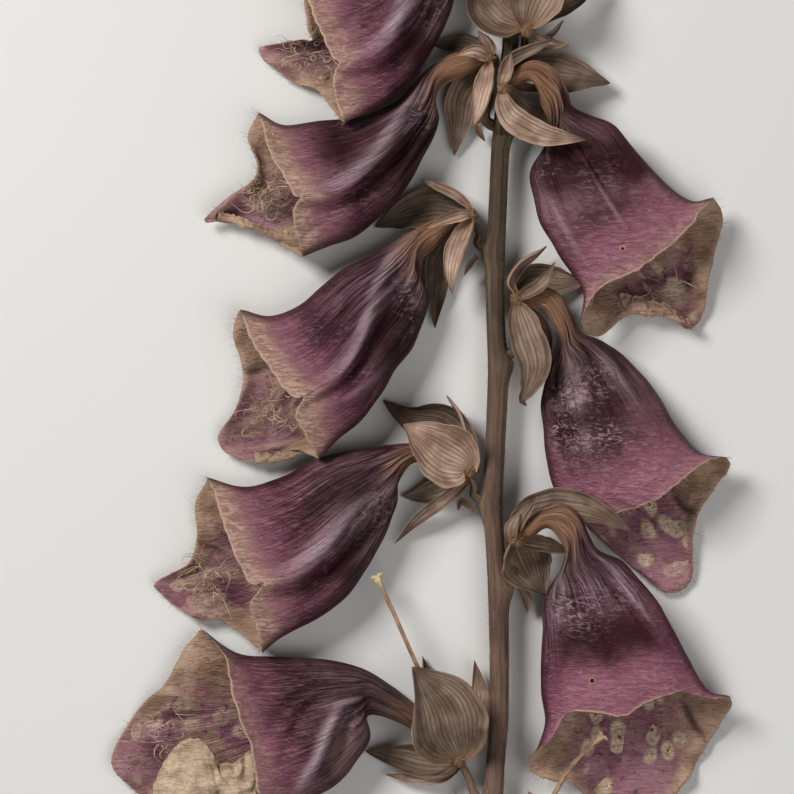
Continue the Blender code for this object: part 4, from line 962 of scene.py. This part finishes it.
for seed, name in enumerate(BELLS):
    grid, fields = bell(name, 20 * seed + 40)
    grid = settled(grid)
    BELL_WALLS[name] = grid
    grid, fields = into_cup(grid, fields, np.array(BELLS[name]["cup"]) + STEM_SHIFT)
    patches = [(grid, "ring", fields)]
    if name in FOLDED:
        patches.append(folded_lobe(*FOLDED[name], 310 + seed))
    if name in HOLES:
        x, y, radius = HOLES[name]
        patches += pinhole(BELL_WALLS[name], x + STEM_SHIFT[0], y + STEM_SHIFT[1], radius, seed)
    piece(f"corolla_{name}", patches, petal)

# ---------------------------------------------------------------------------------------------
# Calyces: five papery sepals grow from a small green cup behind each flower. They dried curled and
# cupped, with close raised veins from root to tip and a thickened pale margin.

CUP_RADIUS = 1.45
SEPAL_ROOT = 0.7
SEPAL_SKIN = 0.16  # half the thickness of a sepal in mm
SEPAL_TOP = 12.0  # heights over this many mm are eased towards 0.7 mm more
VEINS, VEIN_HEIGHT = 9, 0.11
BARE_CUPS = {"R0": (5.0, 61.2, 6.8), "R4": (5.2, -77.0, 4.6)}

# Sepals: midrib from the cup to the tip, greatest width, roll in degrees and tone, the painted light
# that mixes a shaded and a lit copy of the paper: 0 is the grey olive of the ones in the shade and
# 1 the pinkish tan of the ones on top.
SEPALS = {
    "L1": [
        ([(-0.2, 80.4, 3.4), (-4, 84.2, 2.0), (-8, 85.8, 1.5), (-12.9, 85.2, 1.3)], 6.4, 0, 0.3),
        ([(-0.2, 80.2, 6.6), (-4.6, 81.2, 8.6), (-9, 79.2, 10.4), (-12.9, 76, 11.6)], 6.2, 0, 0.8),
        ([(0.4, 78.6, 3.2), (0.4, 75, 1.9), (-1.4, 70.5, 1.3), (-3.2, 66.5, 1.1)], 5.0, 0, 0.3),
        ([(1.2, 78.6, 6.0), (2.4, 75.4, 8.6), (3.2, 71, 8.8)], 3.2, 40, 0.8),
        ([(0.8, 80.8, 5.6), (0.8, 84.6, 5.8), (-0.6, 89.5, 5.2)], 2.4, 50, 0.5),
    ],
    "L2": [
        ([(-2, 57.2, 3.0), (-5, 59, 2.2), (-10.5, 58.9, 1.6)], 3.2, 0, 0.15),
        ([(-1.2, 57.4, 5.6), (-2, 59.2, 6.8), (-3.2, 61, 7.2)], 2.2, 0, 0.5),
        ([(-1.6, 55.4, 2.8), (-5.4, 50.6, 1.7), (-6.2, 46, 1.3), (-7.1, 40.5, 1.1)], 5.6, 0, 0.5),
        ([(-1.2, 55.4, 6), (-1.8, 52, 7.8), (-2.6, 48.6, 8.3), (-4, 45, 8)], 3.4, 35, 0.85),
        ([(-2, 56.8, 6.4), (-4, 57.4, 8), (-6.8, 56.6, 8.8)], 2.2, 0, 0.9),
    ],
    "L3": [
        ([(-4.9, 31, 2.7), (-10, 31.8, 1.6), (-15, 30.8, 0.9), (-20.4, 28.5, 0.7)], 6.6, 0, 0.2),
        ([(-4.8, 31.2, 5), (-7.6, 33.8, 4.6), (-12.6, 36.4, 3.2)], 1.9, 30, 0.7),
        ([(-4.7, 29.2, 2.7), (-9, 23.6, 1.5), (-9.9, 18, 1.2), (-10.3, 11.6, 1)], 4.8, 0, 0.12),
        ([(-4.6, 29, 6), (-6.6, 25, 7.4), (-7.5, 21, 7.6), (-7.5, 17, 7.2)], 3.4, 25, 0.85),
        ([(-5.2, 30.4, 6.2), (-8.4, 29.6, 7.9), (-11.6, 28, 8.8)], 2.0, 0, 0.9),
    ],
    "L4": [
        ([(-4.8, -11.4, 6.3), (-8.4, -9.6, 9.2), (-12, -7, 10.6), (-15.6, -4.5, 10.6)], 9.8, 0, 1.0),
        ([(-3.9, -11.2, 2.6), (-8.6, -5.2, 1.7), (-14, -3.6, 1.3), (-19, -0.5, 1)], 6.8, 0, 0.15),
        ([(-4.2, -11, 5), (-4.4, -7.4, 5.4), (-5.8, -3.8, 5.4), (-8.4, 0.2, 4.8)], 1.9, 60, 0.6),
        ([(-4.9, -13.2, 2.7), (-9.6, -15.4, 1.5), (-13, -16.4, 1), (-16, -16.6, 0.7)], 4.2, 0, 0.35),
        ([(-4.8, -13.6, 4.4), (-9, -17.4, 3.4), (-13.4, -20.8, 2.4), (-17.1, -24.6, 1.2)], 2, 0, 0.6),
    ],
    "L5": [
        ([(-6.4, -59.6, 6.3), (-7.6, -56, 9.4), (-9.2, -51, 10.8), (-14.2, -44.8, 10)], 12.4, 0, 0.4),
        ([(-5.6, -59.6, 4.4), (-3.6, -55.6, 3.6), (-2.8, -50.4, 3), (-3.7, -44.1, 2.2)], 3.6, 0, 0.6),
        ([(-7, -61.4, 3.4), (-11.5, -61.3, 2), (-17, -60, 1.2), (-22, -59.2, 0.8)], 5.4, 0, 0.3),
        ([(-6.2, -61.4, 3.6), (-9.4, -63.6, 2.6), (-14, -64, 1.8), (-18.6, -63.4, 1.2)], 2, 0, 0.6),
        ([(-6, -59.4, 2.6), (-8.0, -53, 1.7), (-11, -47.6, 1.3), (-12.4, -43.4, 1)], 4.0, 0, 0.3),
    ],
    "R0": [
        ([(3.8, 61.8, 7.2), (0.6, 63.2, 6.8), (-1.8, 66.6, 5.2), (-2.8, 72.6, 4.6)], 8.4, 8, 0.4),
        ([(5.2, 62.2, 8), (6.2, 65.6, 9.6), (8, 69.5, 9.6), (10.8, 75, 8.4)], 8.6, 0, 0.55),
        ([(5.8, 61.8, 6), (9, 64.4, 5), (13.4, 66.6, 4.6), (18, 70, 4.4)], 3.4, 0, 0.5),
        ([(5, 62.2, 6), (4.8, 67, 6.6), (4.2, 71.6, 7.2), (3.2, 77, 7.6)], 2.6, 0, 0.5),
        ([(5.6, 60.6, 6.6), (8.6, 58.8, 6.2), (12, 58.6, 6)], 2.0, 0, 0.5),
    ],
    "R1": [
        ([(1, 50.6, 8.4), (2.6, 46.6, 11), (7.4, 43.8, 12), (14.6, 42.5, 11.6)], 4.4, 25, 0.75),
        ([(0.5, 52.8, 7.2), (1.8, 55.8, 7), (5, 57.8, 6.9), (9.7, 59.7, 7.4)], 2.0, 25, 0.35),
        ([(2.2, 52.2, 6.3), (5, 53.4, 4.7), (8, 54, 3.8), (12.4, 53.6, 3.2), (19, 52.5, 3.2)],
            7.4, 0, 0.3),
        ([(2.2, 51, 6.6), (4.6, 48, 3.8), (8.4, 46.6, 1.9), (12.6, 45.4, 0.9)], 3.2, 0, 0.4),
        ([(0.9, 52.2, 9), (1.6, 54.4, 9.8), (2.2, 57.2, 10.2)], 2.0, 0, 0.8),
    ],
    "R2": [
        ([(3, 17.2, 4.6), (2.2, 19.4, 4.6), (4.6, 22.8, 4.2), (8.3, 25.2, 3.6)], 1.8, 40, 0.5),
        ([(3.8, 17.4, 3.2), (5.8, 19.6, 2), (10.6, 19.4, 1), (15.4, 19.6, 0.8)], 5.6, 0, 0.4),
        ([(3.4, 15, 5.6), (4.8, 10.6, 7.4), (6.2, 5.6, 7.8), (5.4, 1.6, 6.6), (4.2, -0.4, 5.8),
            (4.9, -1.4, 5.4)], 5.8, 0, 0.45),
        ([(4, 15, 3.2), (7, 11.6, 1.6), (7.6, 7.8, 1.1), (5.6, 2.2, 0.9)], 3.4, 0, 0.3),
        ([(4.4, 17, 5.8), (7.4, 19, 7), (9.6, 22.4, 6.8)], 2.0, 0, 0.5),
    ],
    "R3": [
        ([(2.6, -22.5, 8.6), (6.6, -18.5, 7.6), (14, -18.3, 7.6), (22.4, -22.3, 7.9)], 5.4, 0, 0.45),
        ([(3.4, -24.6, 8.8), (4.2, -26.4, 6.4), (5.4, -29, 4.8), (8, -33.2, 3.6)], 8.6, 0, 0.4),
        ([(4.6, -23.9, 9.2), (8.6, -24.6, 7.6), (12.4, -25.8, 6.8)], 2.6, 0, 0.3),
        ([(2.8, -22.6, 10.8), (3.6, -19.8, 11.6), (6.6, -16.4, 11.4)], 2.6, 0, 0.5),
        ([(2.4, -23.2, 11.2), (2.2, -21.4, 12.0), (3.4, -19, 12.2)], 2.0, 0, 0.6),
    ],
    "R4": [
        ([(5.2, -75.8, 6.0), (7.2, -72, 8.4), (7.6, -68.6, 9), (5, -65.4, 9.2)], 4.4, 0, 0.9),
        ([(6, -77.2, 3.4), (10.5, -78.2, 2), (15.4, -77.4, 1.4), (19.6, -75.2, 1)], 7.0, 0, 0.4),
        ([(6, -76.6, 3.8), (11.4, -74, 4), (15.4, -73.6, 4), (19.8, -74, 3.4)], 3.0, 0, 0.6),
        ([(5.6, -78, 4.0), (8.6, -82.6, 2.4), (12.4, -85.4, 1.6), (16, -86.4, 1.2)], 5.6, 0, 0.5),
        ([(4.8, -76, 3.6), (4.6, -72.4, 3), (5, -69, 2.4)], 3.2, 0, 0.3),
    ],
}


def frames(middle):
    """Sideways and upward unit vectors along a path, the side one level."""
    tangent = unit(np.gradient(middle, axis=0))
    side = unit(np.cross((0.0, 0.0, 1.0), tangent))
    return side, np.cross(tangent, side)


def leaf(midrib, width, roll, tone, seed, skin=SEPAL_SKIN, along=36, wide=26):
    """A pointed blade with raised veins along it, its margin thickened, curled and slightly wavy.

    Across, its points follow a sine, so that they crowd at the margins. Its height over the midrib
    is a parabola across, plus the upturned margin, slow waves, the veins and half the thickness.
    """
    places = np.linspace(0, 1, along)
    middle = curve(midrib, places)
    side, up = frames(middle)
    length = run_length(middle)[-1]
    luck = np.random.default_rng(seed)
    turn = math.radians(roll) + 0.5 * luck.uniform(-1, 1) * step(0.5, 1, places)[:, None]
    side, up = side * np.cos(turn) + up * np.sin(turn), up * np.cos(turn) - side * np.sin(turn)
    belly = np.sin(math.pi * places**0.8) ** 0.85 * (1 - 0.35 * places**6)
    half = 0.5 * np.maximum(width * belly, 0.9 * (1 - places) ** 1.5) + 0.05 + 0.07 * (1 - places)
    places, half = places[:, None], half[:, None]
    under = wide // 2
    a = np.sin(np.r_[np.linspace(-1, 1, wide), np.linspace(1, -1, under + 2)[1:-1]] * math.pi / 2)
    face = np.r_[np.ones(wide), -np.ones(under)]
    edge = 1 + 0.07 * noise(places * 9, np.sign(a) * 3 + 3, seed + 1) * np.abs(a) ** 2
    lines = np.cos(a * VEINS * math.pi / 2 * (1 + 0.06 * noise(places * 5, 0.5, seed + 2)))
    veins = VEIN_HEIGHT * np.clip(lines, 0, 1) ** 3 * np.clip(half / 1.6, 0.25, 1)
    lift = luck.uniform(0.12, 0.4) * half * (a**2 - 0.4) + 0.3 * half * np.abs(a) ** 6
    lift = lift + 0.3 * rough(places * length / 5, a * half / 3 + 9, seed + 3, 2)
    wave = noise(places * length / 3.2, np.sign(a) * 2 + 2, seed + 4)
    lift = lift + 0.25 * step(0.6, 1, np.abs(a)) * wave
    rim = step(0.86, 0.97, np.abs(a))
    thick = skin * (1 + 0.9 * rim) * np.minimum(1, half * 2)
    thick = thick * np.where(np.abs(a) > 0.999, 0.2, 1)
    points = middle[:, None] + (half * a * edge)[..., None] * side[:, None]
    points = points + (lift + face * thick + veins)[..., None] * up[:, None]
    points[..., 2] = eased(points[..., 2], SEPAL_TOP, 0.7)
    return points, "caps", paper_fields(lines, rim, tone, places * length, a * half.max(), seed)


def paper_fields(lines, margin, tone, root, across, seed):
    """What the sepals' material reads: veins, margin, tone, mm from the root, and mm both ways."""
    vein, margin, tone, root, across, seed = np.broadcast_arrays(
        np.clip(lines, 0, 1), margin, tone, root, across, seed)
    return {"vein": vein, "margin": margin, "tone": tone, "root": root,
            "flow": together(across, root, seed)}


def ball(middle, radius, tone, seed, rows=14, around=22):
    """A lumpy ball: its radius waves by a cosine of five turns and by noise."""
    rise = np.linspace(0.08, math.pi - 0.08, rows)[:, None]
    turn = turns(around)[None, :]
    bump = 1 + 0.07 * np.cos(5 * turn) + 0.08 * noise(rise * 4, np.sin(turn) * 3 + 4, seed)
    unit_ball = together(np.sin(rise) * np.cos(turn), np.sin(rise) * np.sin(turn), np.cos(rise))
    points = unit_ball * (radius * bump)[..., None] + np.array(middle)
    fields = paper_fields(0.4 + 0 * bump, 0.0, tone, 0.0, turn, seed)
    fields["flow"][..., 1] = rise
    return points, "caps", fields


def dried_sepal():
    """Dried sepal: paper with darker lines between raised veins, painted light from grey olive to tan."""
    material, add = start_material("dried_sepal_paper")
    place, flow = add("place"), add("vector", attribute_name="flow")
    vein, margin, root, tone = (add("level", attribute_name=key)
                                for key in ("vein", "margin", "root", "tone"))
    tone = add("power", tone, 1.45)
    cloud = add("noise", place, 260.0, 5.0)  # patches 4 mm across
    grit = add("noise", place, 2400.0, 3.0)  # grit 0.4 mm across
    fibre = grain(add, flow, (3.0, 0.16, 1.0), 4.0)  # fibres 0.3 mm apart that run from root to tip
    wavy = add("times_plus", add("split", flow)[0], 8.4, add("times", cloud, 5.0))
    line = add("reach", add("sine", wavy), 0.45, 1.0)  # a fine vein every 0.75 mm
    # Painted light: a shaded and a lit copy of the paper mixed by tone; vein, fibre and margin colours
    # follow it.
    shaded = mottle(add, cloud, 0.35, 0.65, "#352b1f", "#564737")
    lit = mottle(add, cloud, 0.35, 0.65, "#a5836e", "#dcbba5")
    colour = coats(add, add("mix", tone, shaded, lit), [
        (add("times", add("reach", vein, 0.5, 0.0), 0.2), add("mix", tone, "#32271f", "#664336")),
        (add("times", line, 0.34), "#4f372b"),
        (add("times", add("reach", fibre, 0.5, 0.34), 0.4), "#453126"),
        (add("times", add("reach", fibre, 0.54, 0.7), 0.4), add("mix", tone, "#8f7a66", "#ccae99")),
        (add("reach", root, 3.5, 0.0, 0.0, 0.6), "#82603d"),
        (add("times", margin, 0.5), add("mix", tone, "#8a725d", "#c5a58c")),
    ])
    raised = add("plus", add("times", fibre, 0.8), add("times", grit, 0.2))
    raised = add("minus", raised, add("times", line, 0.7))
    return finish_material(material, colour, 0.68, 0.32, add("bump", raised, 0.7, 0.0003))


paper = dried_sepal()
CUPS = {**{name: BELLS[name]["cup"] for name in BELLS}, **BARE_CUPS}
for number, (name, sepals) in enumerate(SEPALS.items()):
    cup = np.array(CUPS[name])
    patches = [ball(cup, CUP_RADIUS, 0.35, 700 + number)]
    for order, (midrib, width, roll, tone) in enumerate(sepals):
        out = unit(midrib[0] - cup)
        path = [cup + out * SEPAL_ROOT, cup + out * (CUP_RADIUS + 0.2), *midrib[1:]]
        patches.append(leaf(path, width, roll, tone, 720 + 10 * number + order))
    patches = [(np.maximum(points + STEM_SHIFT, (-np.inf, -np.inf, 0.1)), closed, fields)
               for points, closed, fields in patches]  # a sepal that sags lies on the table
    piece(f"calyx_{name}", patches, paper)

# ---------------------------------------------------------------------------------------------
# Flower stalks and bracts: each flower hangs on a short stalk that leaves the stem at a joint and
# tapers towards the cup, with a narrow shrivelled bract at the foot of some.

STALK_RADIUS = 0.6
STALK_TAPER = [(0, STALK_RADIUS * 1.7), (0.35, STALK_RADIUS * 1.25), (0.7, STALK_RADIUS),
               (1, STALK_RADIUS)]
STALK_DROP = 1.6  # how far below a stalk's first point it starts in the stem
STALKS = {  # points between the stem and the cup
    "L1": [(0.2, 72.6, 4.0), (1.1, 75.4, 4.2)],
    "L2": [(-1.9, 46.4, 4.6), (-1.2, 50.4, 5.0)],
    "L3": [(-3.1, 25.6, 4.4), (-2.9, 27.4, 4.6)],
    "L4": [(-3.7, -16.5, 4.3), (-3.8, -15, 4.5)],
    "L5": [(-3.4, -66.8, 4.3), (-4.6, -63.8, 4.5)],
    "R0": [(4.2, 54.6, 3.0), (4.5, 57.4, 3.4)],
    "R1": [(0.6, 45.6, 6.7), (0.8, 48, 7.0)],
    "R2": [(3.7, 8.2, 4.2), (3.4, 12, 4.3)],
    "R3": [(3.0, -29.2, 4.6), (1.7, -27.1, 6.0)],
    "R4": [(2.9, -82.4, 4.3), (4.2, -80.2, 4.4)],
}
BRACTS = {  # midrib and greatest width
    "L2": ([(-3.1, 45.9, 3.2), (-2.9, 44.4, 2.6), (-1.9, 42.8, 2.2)], 0.9),
    "L3": ([(-3.3, 23.6, 3.4), (-4.4, 22.4, 3), (-5.4, 20.4, 2.6)], 0.9),
    "L4": ([(-3.7, -18.8, 3.2), (-5.9, -17.4, 3), (-6.5, -19, 2.6)], 1.1),
    "L5": ([(-3.4, -68.6, 3), (-5.4, -68.2, 2.4), (-7, -66.4, 2)], 1.3),
    "R0": ([(6.6, 59, 4.4), (9.4, 60.8, 4.4), (11.2, 63, 4)], 0.9),
    "R3": ([(3.9, -31.8, 3.4), (5, -33.6, 2.8), (5.2, -36, 2.2)], 1.4),
}
BRACT_SKIN = 0.14


def rod(path, radii, seed, ribs=0.08, along=44, around=18, crease=5):
    """A round rod along a smooth path, radii given as (place, radius), with shallow ribs along it.

    Its section is a circle on the path's own side and up vectors, times one plus a cosine round it.
    """
    places = np.linspace(0, 1, along)
    middle = curve(path, places)
    side, up = frames(middle)
    radius = np.interp(places, *np.transpose(radii))[:, None]
    turn = turns(around)[None, :]
    wave = np.cos(crease * turn + 3 * noise(places[:, None] * 4, 0.5, seed))
    wave = wave + 0.7 * noise(places[:, None] * 14, np.cos(turn) * 2 + 3, seed + 1)
    size = radius * (1 + ribs * wave)
    circle = np.cos(turn)[..., None] * side[:, None] + np.sin(turn)[..., None] * up[:, None]
    return middle[:, None] + size[..., None] * circle, {"rib": np.clip(0.5 + 0.35 * wave, 0, 1)}


for number, (name, route) in enumerate(STALKS.items()):
    spot = route[0][1] - STALK_DROP
    foot = (np.interp(spot, STEM_AXIS[:, 1], STEM_AXIS[:, 0]), spot, STEM_HEIGHT)
    points, fields = rod([foot, *route, CUPS[name]], STALK_TAPER, 900 + number)
    piece(f"pedicel_{name}", [(points + STEM_SHIFT, "caps", fields)], stem_skin)
for number, (name, (midrib, width)) in enumerate(BRACTS.items()):
    points, closed, fields = leaf(midrib, width, 0, 0.5, 940 + number, skin=BRACT_SKIN, wide=16)
    piece(f"bract_{name}", [(points + STEM_SHIFT, closed, fields)], paper)

# ---------------------------------------------------------------------------------------------
# Pistils and buds: a pistil is a thin curved style on a small ovary with a two-lobed stigma, and
# three of them came out of their flower. The tip of the spike carries closed buds.

PISTIL_LENGTH = 27.0
PISTIL_RADII = [(0, 0.45), (0.1, 0.55), (0.2, 0.46), (0.3, 0.38), (0.9, 0.34), (0.965, 0.42),
                (0.985, 0.7), (1, 0.55)]
STIGMA_RADII = [(0, 0.36), (0.6, 0.3), (1, 0.1)]
LOOSE_PISTILS = {
    "L5": [(-7.4, -58.2, 6.5), (-9.8, -52.4, 8.2), (-14.3, -42.4, 8.2), (-19.9, -30.1, 6.6)],
    "R4": [(6.2, -75, 4.9), (8.4, -68.6, 5.4), (12.6, -61.4, 5.6), (17.4, -56.6, 5.4)],
    "R0": [(6.2, 63, 6.8), (9, 68.4, 7.2), (12.2, 73.8, 6.8), (15.4, 80.4, 6.2)],
}
BUDS = [  # path from the stem to the tip, and greatest radius
    ([(2.3, 84.2, 4), (-1, 90.6, 3.2), (-4.4, 93.6, 3)], 2.2),
    ([(6.5, 86.6, 4), (9.6, 91, 3.2), (13.4, 92.6, 2.8)], 2.1),
    ([(3.6, 92.4, 3.8), (1, 97, 3), (-1.6, 99.4, 2.6)], 1.7),
    ([(7, 96, 3.8), (9.6, 99.2, 3), (12.4, 100.4, 2.4)], 1.6),
    ([(4.4, 100.4, 3.6), (2.8, 103.6, 3), (1.2, 105.8, 2.4)], 1.2),
    ([(6.6, 103.6, 3.6), (8, 106.2, 3), (9.4, 107.8, 2.4)], 1.1),
]
BUD_STALK = 0.42
BUD_SHAPE = [(0.45, 0.6), (0.6, 0.95), (0.75, 0.9), (0.9, 0.5)]  # place, part of the greatest radius


def dried_style():
    """Dried style: ochre brown thread with fine lengthwise creases, and cream at the stigma."""
    material, add = start_material("dried_style_thread")
    rib, tip = (add("level", attribute_name=key) for key in ("rib", "tip"))
    cloud = add("noise", add("place"), 420.0, 4.0)  # patches 2.4 mm long
    tone = coats(add, mottle(add, cloud, 0.35, 0.65, "#7d5c42", "#b08a68"), [
        (add("reach", rib, 0.45, 0.1, 0.0, 0.5), "#4b3226"),
        (add("reach", tip, 0.9, 1.0, 0.0, 0.85), "#cdb98c"),
    ])
    return finish_material(material, tone, 0.6, bump=add("bump", cloud, 0.4, 0.0001))


def pistil_path(flower):
    """Along the middle of the bell, as far as the pistil is long."""
    t = np.linspace(0.01, 1, 60)
    middle = (curve(flower["first"], t) + curve(flower["second"], t)) / 2
    crest, keel = (np.interp(t, *np.transpose(line)) for line in bell_heights(flower))
    points = np.column_stack([middle, (crest + np.maximum(keel, 0)) / 2])
    return read_at(np.linspace(0, PISTIL_LENGTH, 6), run_length(points), points)


style_skin = dried_style()
for number, name in enumerate([*BELLS, "R4", "R0"]):
    route = LOOSE_PISTILS[name] if name in LOOSE_PISTILS else pistil_path(BELLS[name])
    points, fields = rod(route, PISTIL_RADII, 960 + number, ribs=0.16, along=80, crease=3)
    fields["tip"] = np.linspace(0, 1, len(points))[:, None] + 0 * fields["rib"]
    patches = [(points + STEM_SHIFT, "caps", fields)]
    end = points[-1].mean(0)
    on = unit(end - points[-8].mean(0))
    over = np.array((-on[1], on[0], 0.0))
    for turned in (1, -1):
        lobe = [end - 0.2 * on, end + 0.35 * on + 0.45 * turned * over,
                end + 0.3 * on + 1.15 * turned * over]
        points, fields = rod(lobe, STIGMA_RADII, 980 + number, along=12, around=12)
        fields["tip"] = 1 + 0 * fields["rib"]
        patches.append((points + STEM_SHIFT, "caps", fields))
    piece(f"pistil_{name}", patches, style_skin)
for number, (route, widest) in enumerate(BUDS, 1):
    radii = [(0, 0.45), (0.35, BUD_STALK), *((place, widest * part) for place, part in BUD_SHAPE),
             (1, 0.12)]
    points, fields = rod(route, radii, 980 + number, ribs=0.13, along=60, around=40)
    along = np.linspace(0, 1, len(points))[:, None]
    fields = paper_fields(fields["rib"], 0.0, 0.45, 8 * along, turns(40) * widest, number)
    fields["flow"][..., 1] = 12 * along
    piece(f"bud_{number}", [(points + STEM_SHIFT, "caps", fields)], paper)

# ---------------------------------------------------------------------------------------------
# Hairs: long curled ones stand in the mouths of the bells, short ones fringe the rims, and the stem
# carries fine down. Each is a thin three-sided thread of dry plant hair.

BEARD_RADIUS, FRINGE_RADIUS, DOWN_RADIUS = 0.07, 0.022, 0.02
BEARD_LENGTH, FRINGE_LENGTH, DOWN_LENGTH = (2.4, 6.5), (0.4, 1.3), (0.25, 0.6)
FRINGE_HAIRS, DOWN_HAIRS = 170, 4200
BOX_GAP = 0.05  # how far inside the spike's box the hairs stay
# Tufts of long hairs: bell, middle of the tuft, its reach and the number of hairs.
TUFTS = [
    ("L1", (-31.4, 56.6), 3.4, 30), ("L2", (-38.2, 33.6), 3.0, 46), ("L3", (-37.4, -2), 4.0, 40),
    ("L4", (-48, -30.6), 3.0, 46), ("L5", (-56, -56), 3.4, 20), ("R1", (27.4, 19.6), 3.0, 12),
]


def threads(name, paths, radius, material):
    """One object of tapering threads, from paths of shape (threads, points, 3).

    A thread's section is a triangle round its path, and its radius falls by three quarters as the
    square of the way along.
    """
    count, along = paths.shape[:2]
    tangent = unit(np.gradient(paths, axis=1))
    side = unit(np.cross(tangent, (0.3, 0.2, 0.93)))
    up = np.cross(side, tangent)
    turn = turns(3)[:, None]
    size = radius * (1 - 0.75 * np.linspace(0, 1, along) ** 2)[None, :, None, None]
    triangle = np.cos(turn) * side[:, :, None] + np.sin(turn) * up[:, :, None]
    low, high = np.array(cad_box) / MM
    rings = np.clip(paths[:, :, None] + size * triangle, low + BOX_GAP, high - BOX_GAP)
    index = np.arange(count * along * 3).reshape(count, along, 3)
    quads = np.stack([index[:, :-1], np.roll(index[:, :-1], -1, 2), np.roll(index[:, 1:], -1, 2),
                      index[:, 1:]], -1).reshape(-1, 4).tolist()
    ends = index[:, 0, ::-1].tolist() + index[:, -1].tolist()
    add_mesh(name, rings.reshape(-1, 3), quads + ends, material)


def short_hairs(luck, root, out, spread, lengths, points=2, droop=0.0):
    """Paths of hairs from root the way of out, spread at random, drooping as the square of the way."""
    out = out + luck.normal(0, spread, out.shape)
    k = np.linspace(0, 1, points)[None, :, None]
    length = luck.uniform(*lengths, len(root))[:, None, None]
    return root[:, None] + out[:, None] * length * k - np.array((0, 0, droop)) * length * k**2


def dry_hair(name, dark, pale):
    """Dry plant hair: pale thread, blotched darker every 2 mm along its length."""
    material, add = start_material(name)
    cloud = add("noise", add("place"), 500.0, 2.0)
    return finish_material(material, mottle(add, cloud, 0.35, 0.65, dark, pale), 0.5)


beard_hair = dry_hair("dry_beard_hair", "#967f5e", "#dac69e")
down_hair = dry_hair("dry_down_hair", "#5f5341", "#9a8a70")

for number, (name, middle, spread, count) in enumerate(TUFTS):
    luck = np.random.default_rng(1200 + number)
    k = np.linspace(0, 1, 22)
    heading = luck.uniform(0, 2 * math.pi, count)[:, None]
    bending = (luck.uniform(1.5, 6.5, count) * luck.choice([-1, 1], count))[:, None]
    stride = luck.uniform(*BEARD_LENGTH, count)[:, None] / len(k)
    angle = heading + bending * (k + 0.25 * np.sin(5 * k + heading))
    x = np.cumsum(np.cos(angle) * stride, 1) + middle[0] + luck.normal(0, spread / 2, count)[:, None]
    y = np.cumsum(np.sin(angle) * stride, 1) + middle[1] + luck.normal(0, spread / 2, count)[:, None]
    foot = 3.1 + luck.uniform(0, 1.6, count)[:, None]
    z = foot + 2.2 * np.sin(math.pi * k) * luck.uniform(0.2, 1, count)[:, None]
    paths = together(x, y, z) + STEM_SHIFT * (1, 1, 0)
    threads(f"beard_{name}", paths, BEARD_RADIUS, beard_hair)

for number, (name, grid) in enumerate(BELL_WALLS.items()):
    luck = np.random.default_rng(1300 + number)
    pick = luck.integers(0, UPPER + LOWER, FRINGE_HAIRS)
    root = grid[OUTER - 1, pick]
    out = unit((root - grid[OUTER - 8, pick]) * (1, 1, 0.3))
    paths = short_hairs(luck, root, out, 0.45, FRINGE_LENGTH, points=6, droop=0.3)
    threads(f"fringe_{name}", paths, FRINGE_RADIUS, down_hair)

luck = np.random.default_rng(1400)
pick = luck.integers(4, len(STEM_RINGS) - 4, DOWN_HAIRS)
root = STEM_RINGS[pick, luck.integers(0, STEM_RINGS.shape[1], DOWN_HAIRS)]
out = unit(root - STEM_RINGS[pick].mean(1)) - (0, 0.35, 0)
paths = short_hairs(luck, root + STEM_SHIFT, out, 0.25, DOWN_LENGTH)
threads("stem_down", paths, DOWN_RADIUS, down_hair)

# ---------------------------------------------------------------------------------------------
# Floor, light and camera: a plain pale table, one broad soft light from the upper left with a
# weak one opposite, and a long lens straight above.

FLOOR_HALF = 1.2  # m
VIEW_SIDE = 132.33  # mm of the table that the view covers
VIEW_MIDDLE = (-16.67, 0.0)
VIEW_LEVEL = 6.0  # height at which it covers that much


def table_top():
    """Matte pale card with a faint uneven tone, in patches 170 mm across."""
    material, add = start_material("pale_card")
    cloud = add("noise", add("place"), 6.0, 3.0)
    return finish_material(material, add("mix", cloud, "#d6d4cf", "#dedcd8"), 0.9)


def light(name, place, size, power):
    """A square soft light at place that faces the origin."""
    lamp = bpy.data.lights.new(name, "AREA")
    lamp.size = size
    lamp.energy = power
    obj = link(name, lamp)
    obj.location = place
    obj.rotation_mode = "QUATERNION"
    obj.rotation_quaternion = obj.location.to_track_quat("Z", "Y")


floor_mesh = bpy.data.meshes.new("table_top")
floor_corners = [(FLOOR_HALF * x, FLOOR_HALF * y, 0) for x, y in ((-1, -1), (1, -1), (1, 1), (-1, 1))]
floor_mesh.from_pydata(floor_corners, [], [(0, 1, 2, 3)])
floor_mesh.materials.append(table_top())
floor = link("table_top", floor_mesh)

light("key_light", (-0.4, 0.33, 0.52), 0.26, 5.2)
light("fill_light", (0.3, -0.3, 0.6), 0.6, 2.2)

world = bpy.data.worlds.new("studio")
world.use_nodes = True
world.node_tree.nodes["Background"].inputs[0].default_value = ink("#dfe3e8")
world.node_tree.nodes["Background"].inputs[1].default_value = 0.13
bpy.context.scene.world = world

lens = bpy.data.cameras.new("camera")
lens.lens = 200
lens.sensor_width = 36
camera = link("camera", lens)
distance = lens.lens / lens.sensor_width * VIEW_SIDE + VIEW_LEVEL
camera.location = [MM * v for v in (*(np.array(VIEW_MIDDLE) + STEM_SHIFT[:2]), distance)]
bpy.context.scene.camera = camera
bpy.context.scene.view_settings.view_transform = "Standard"
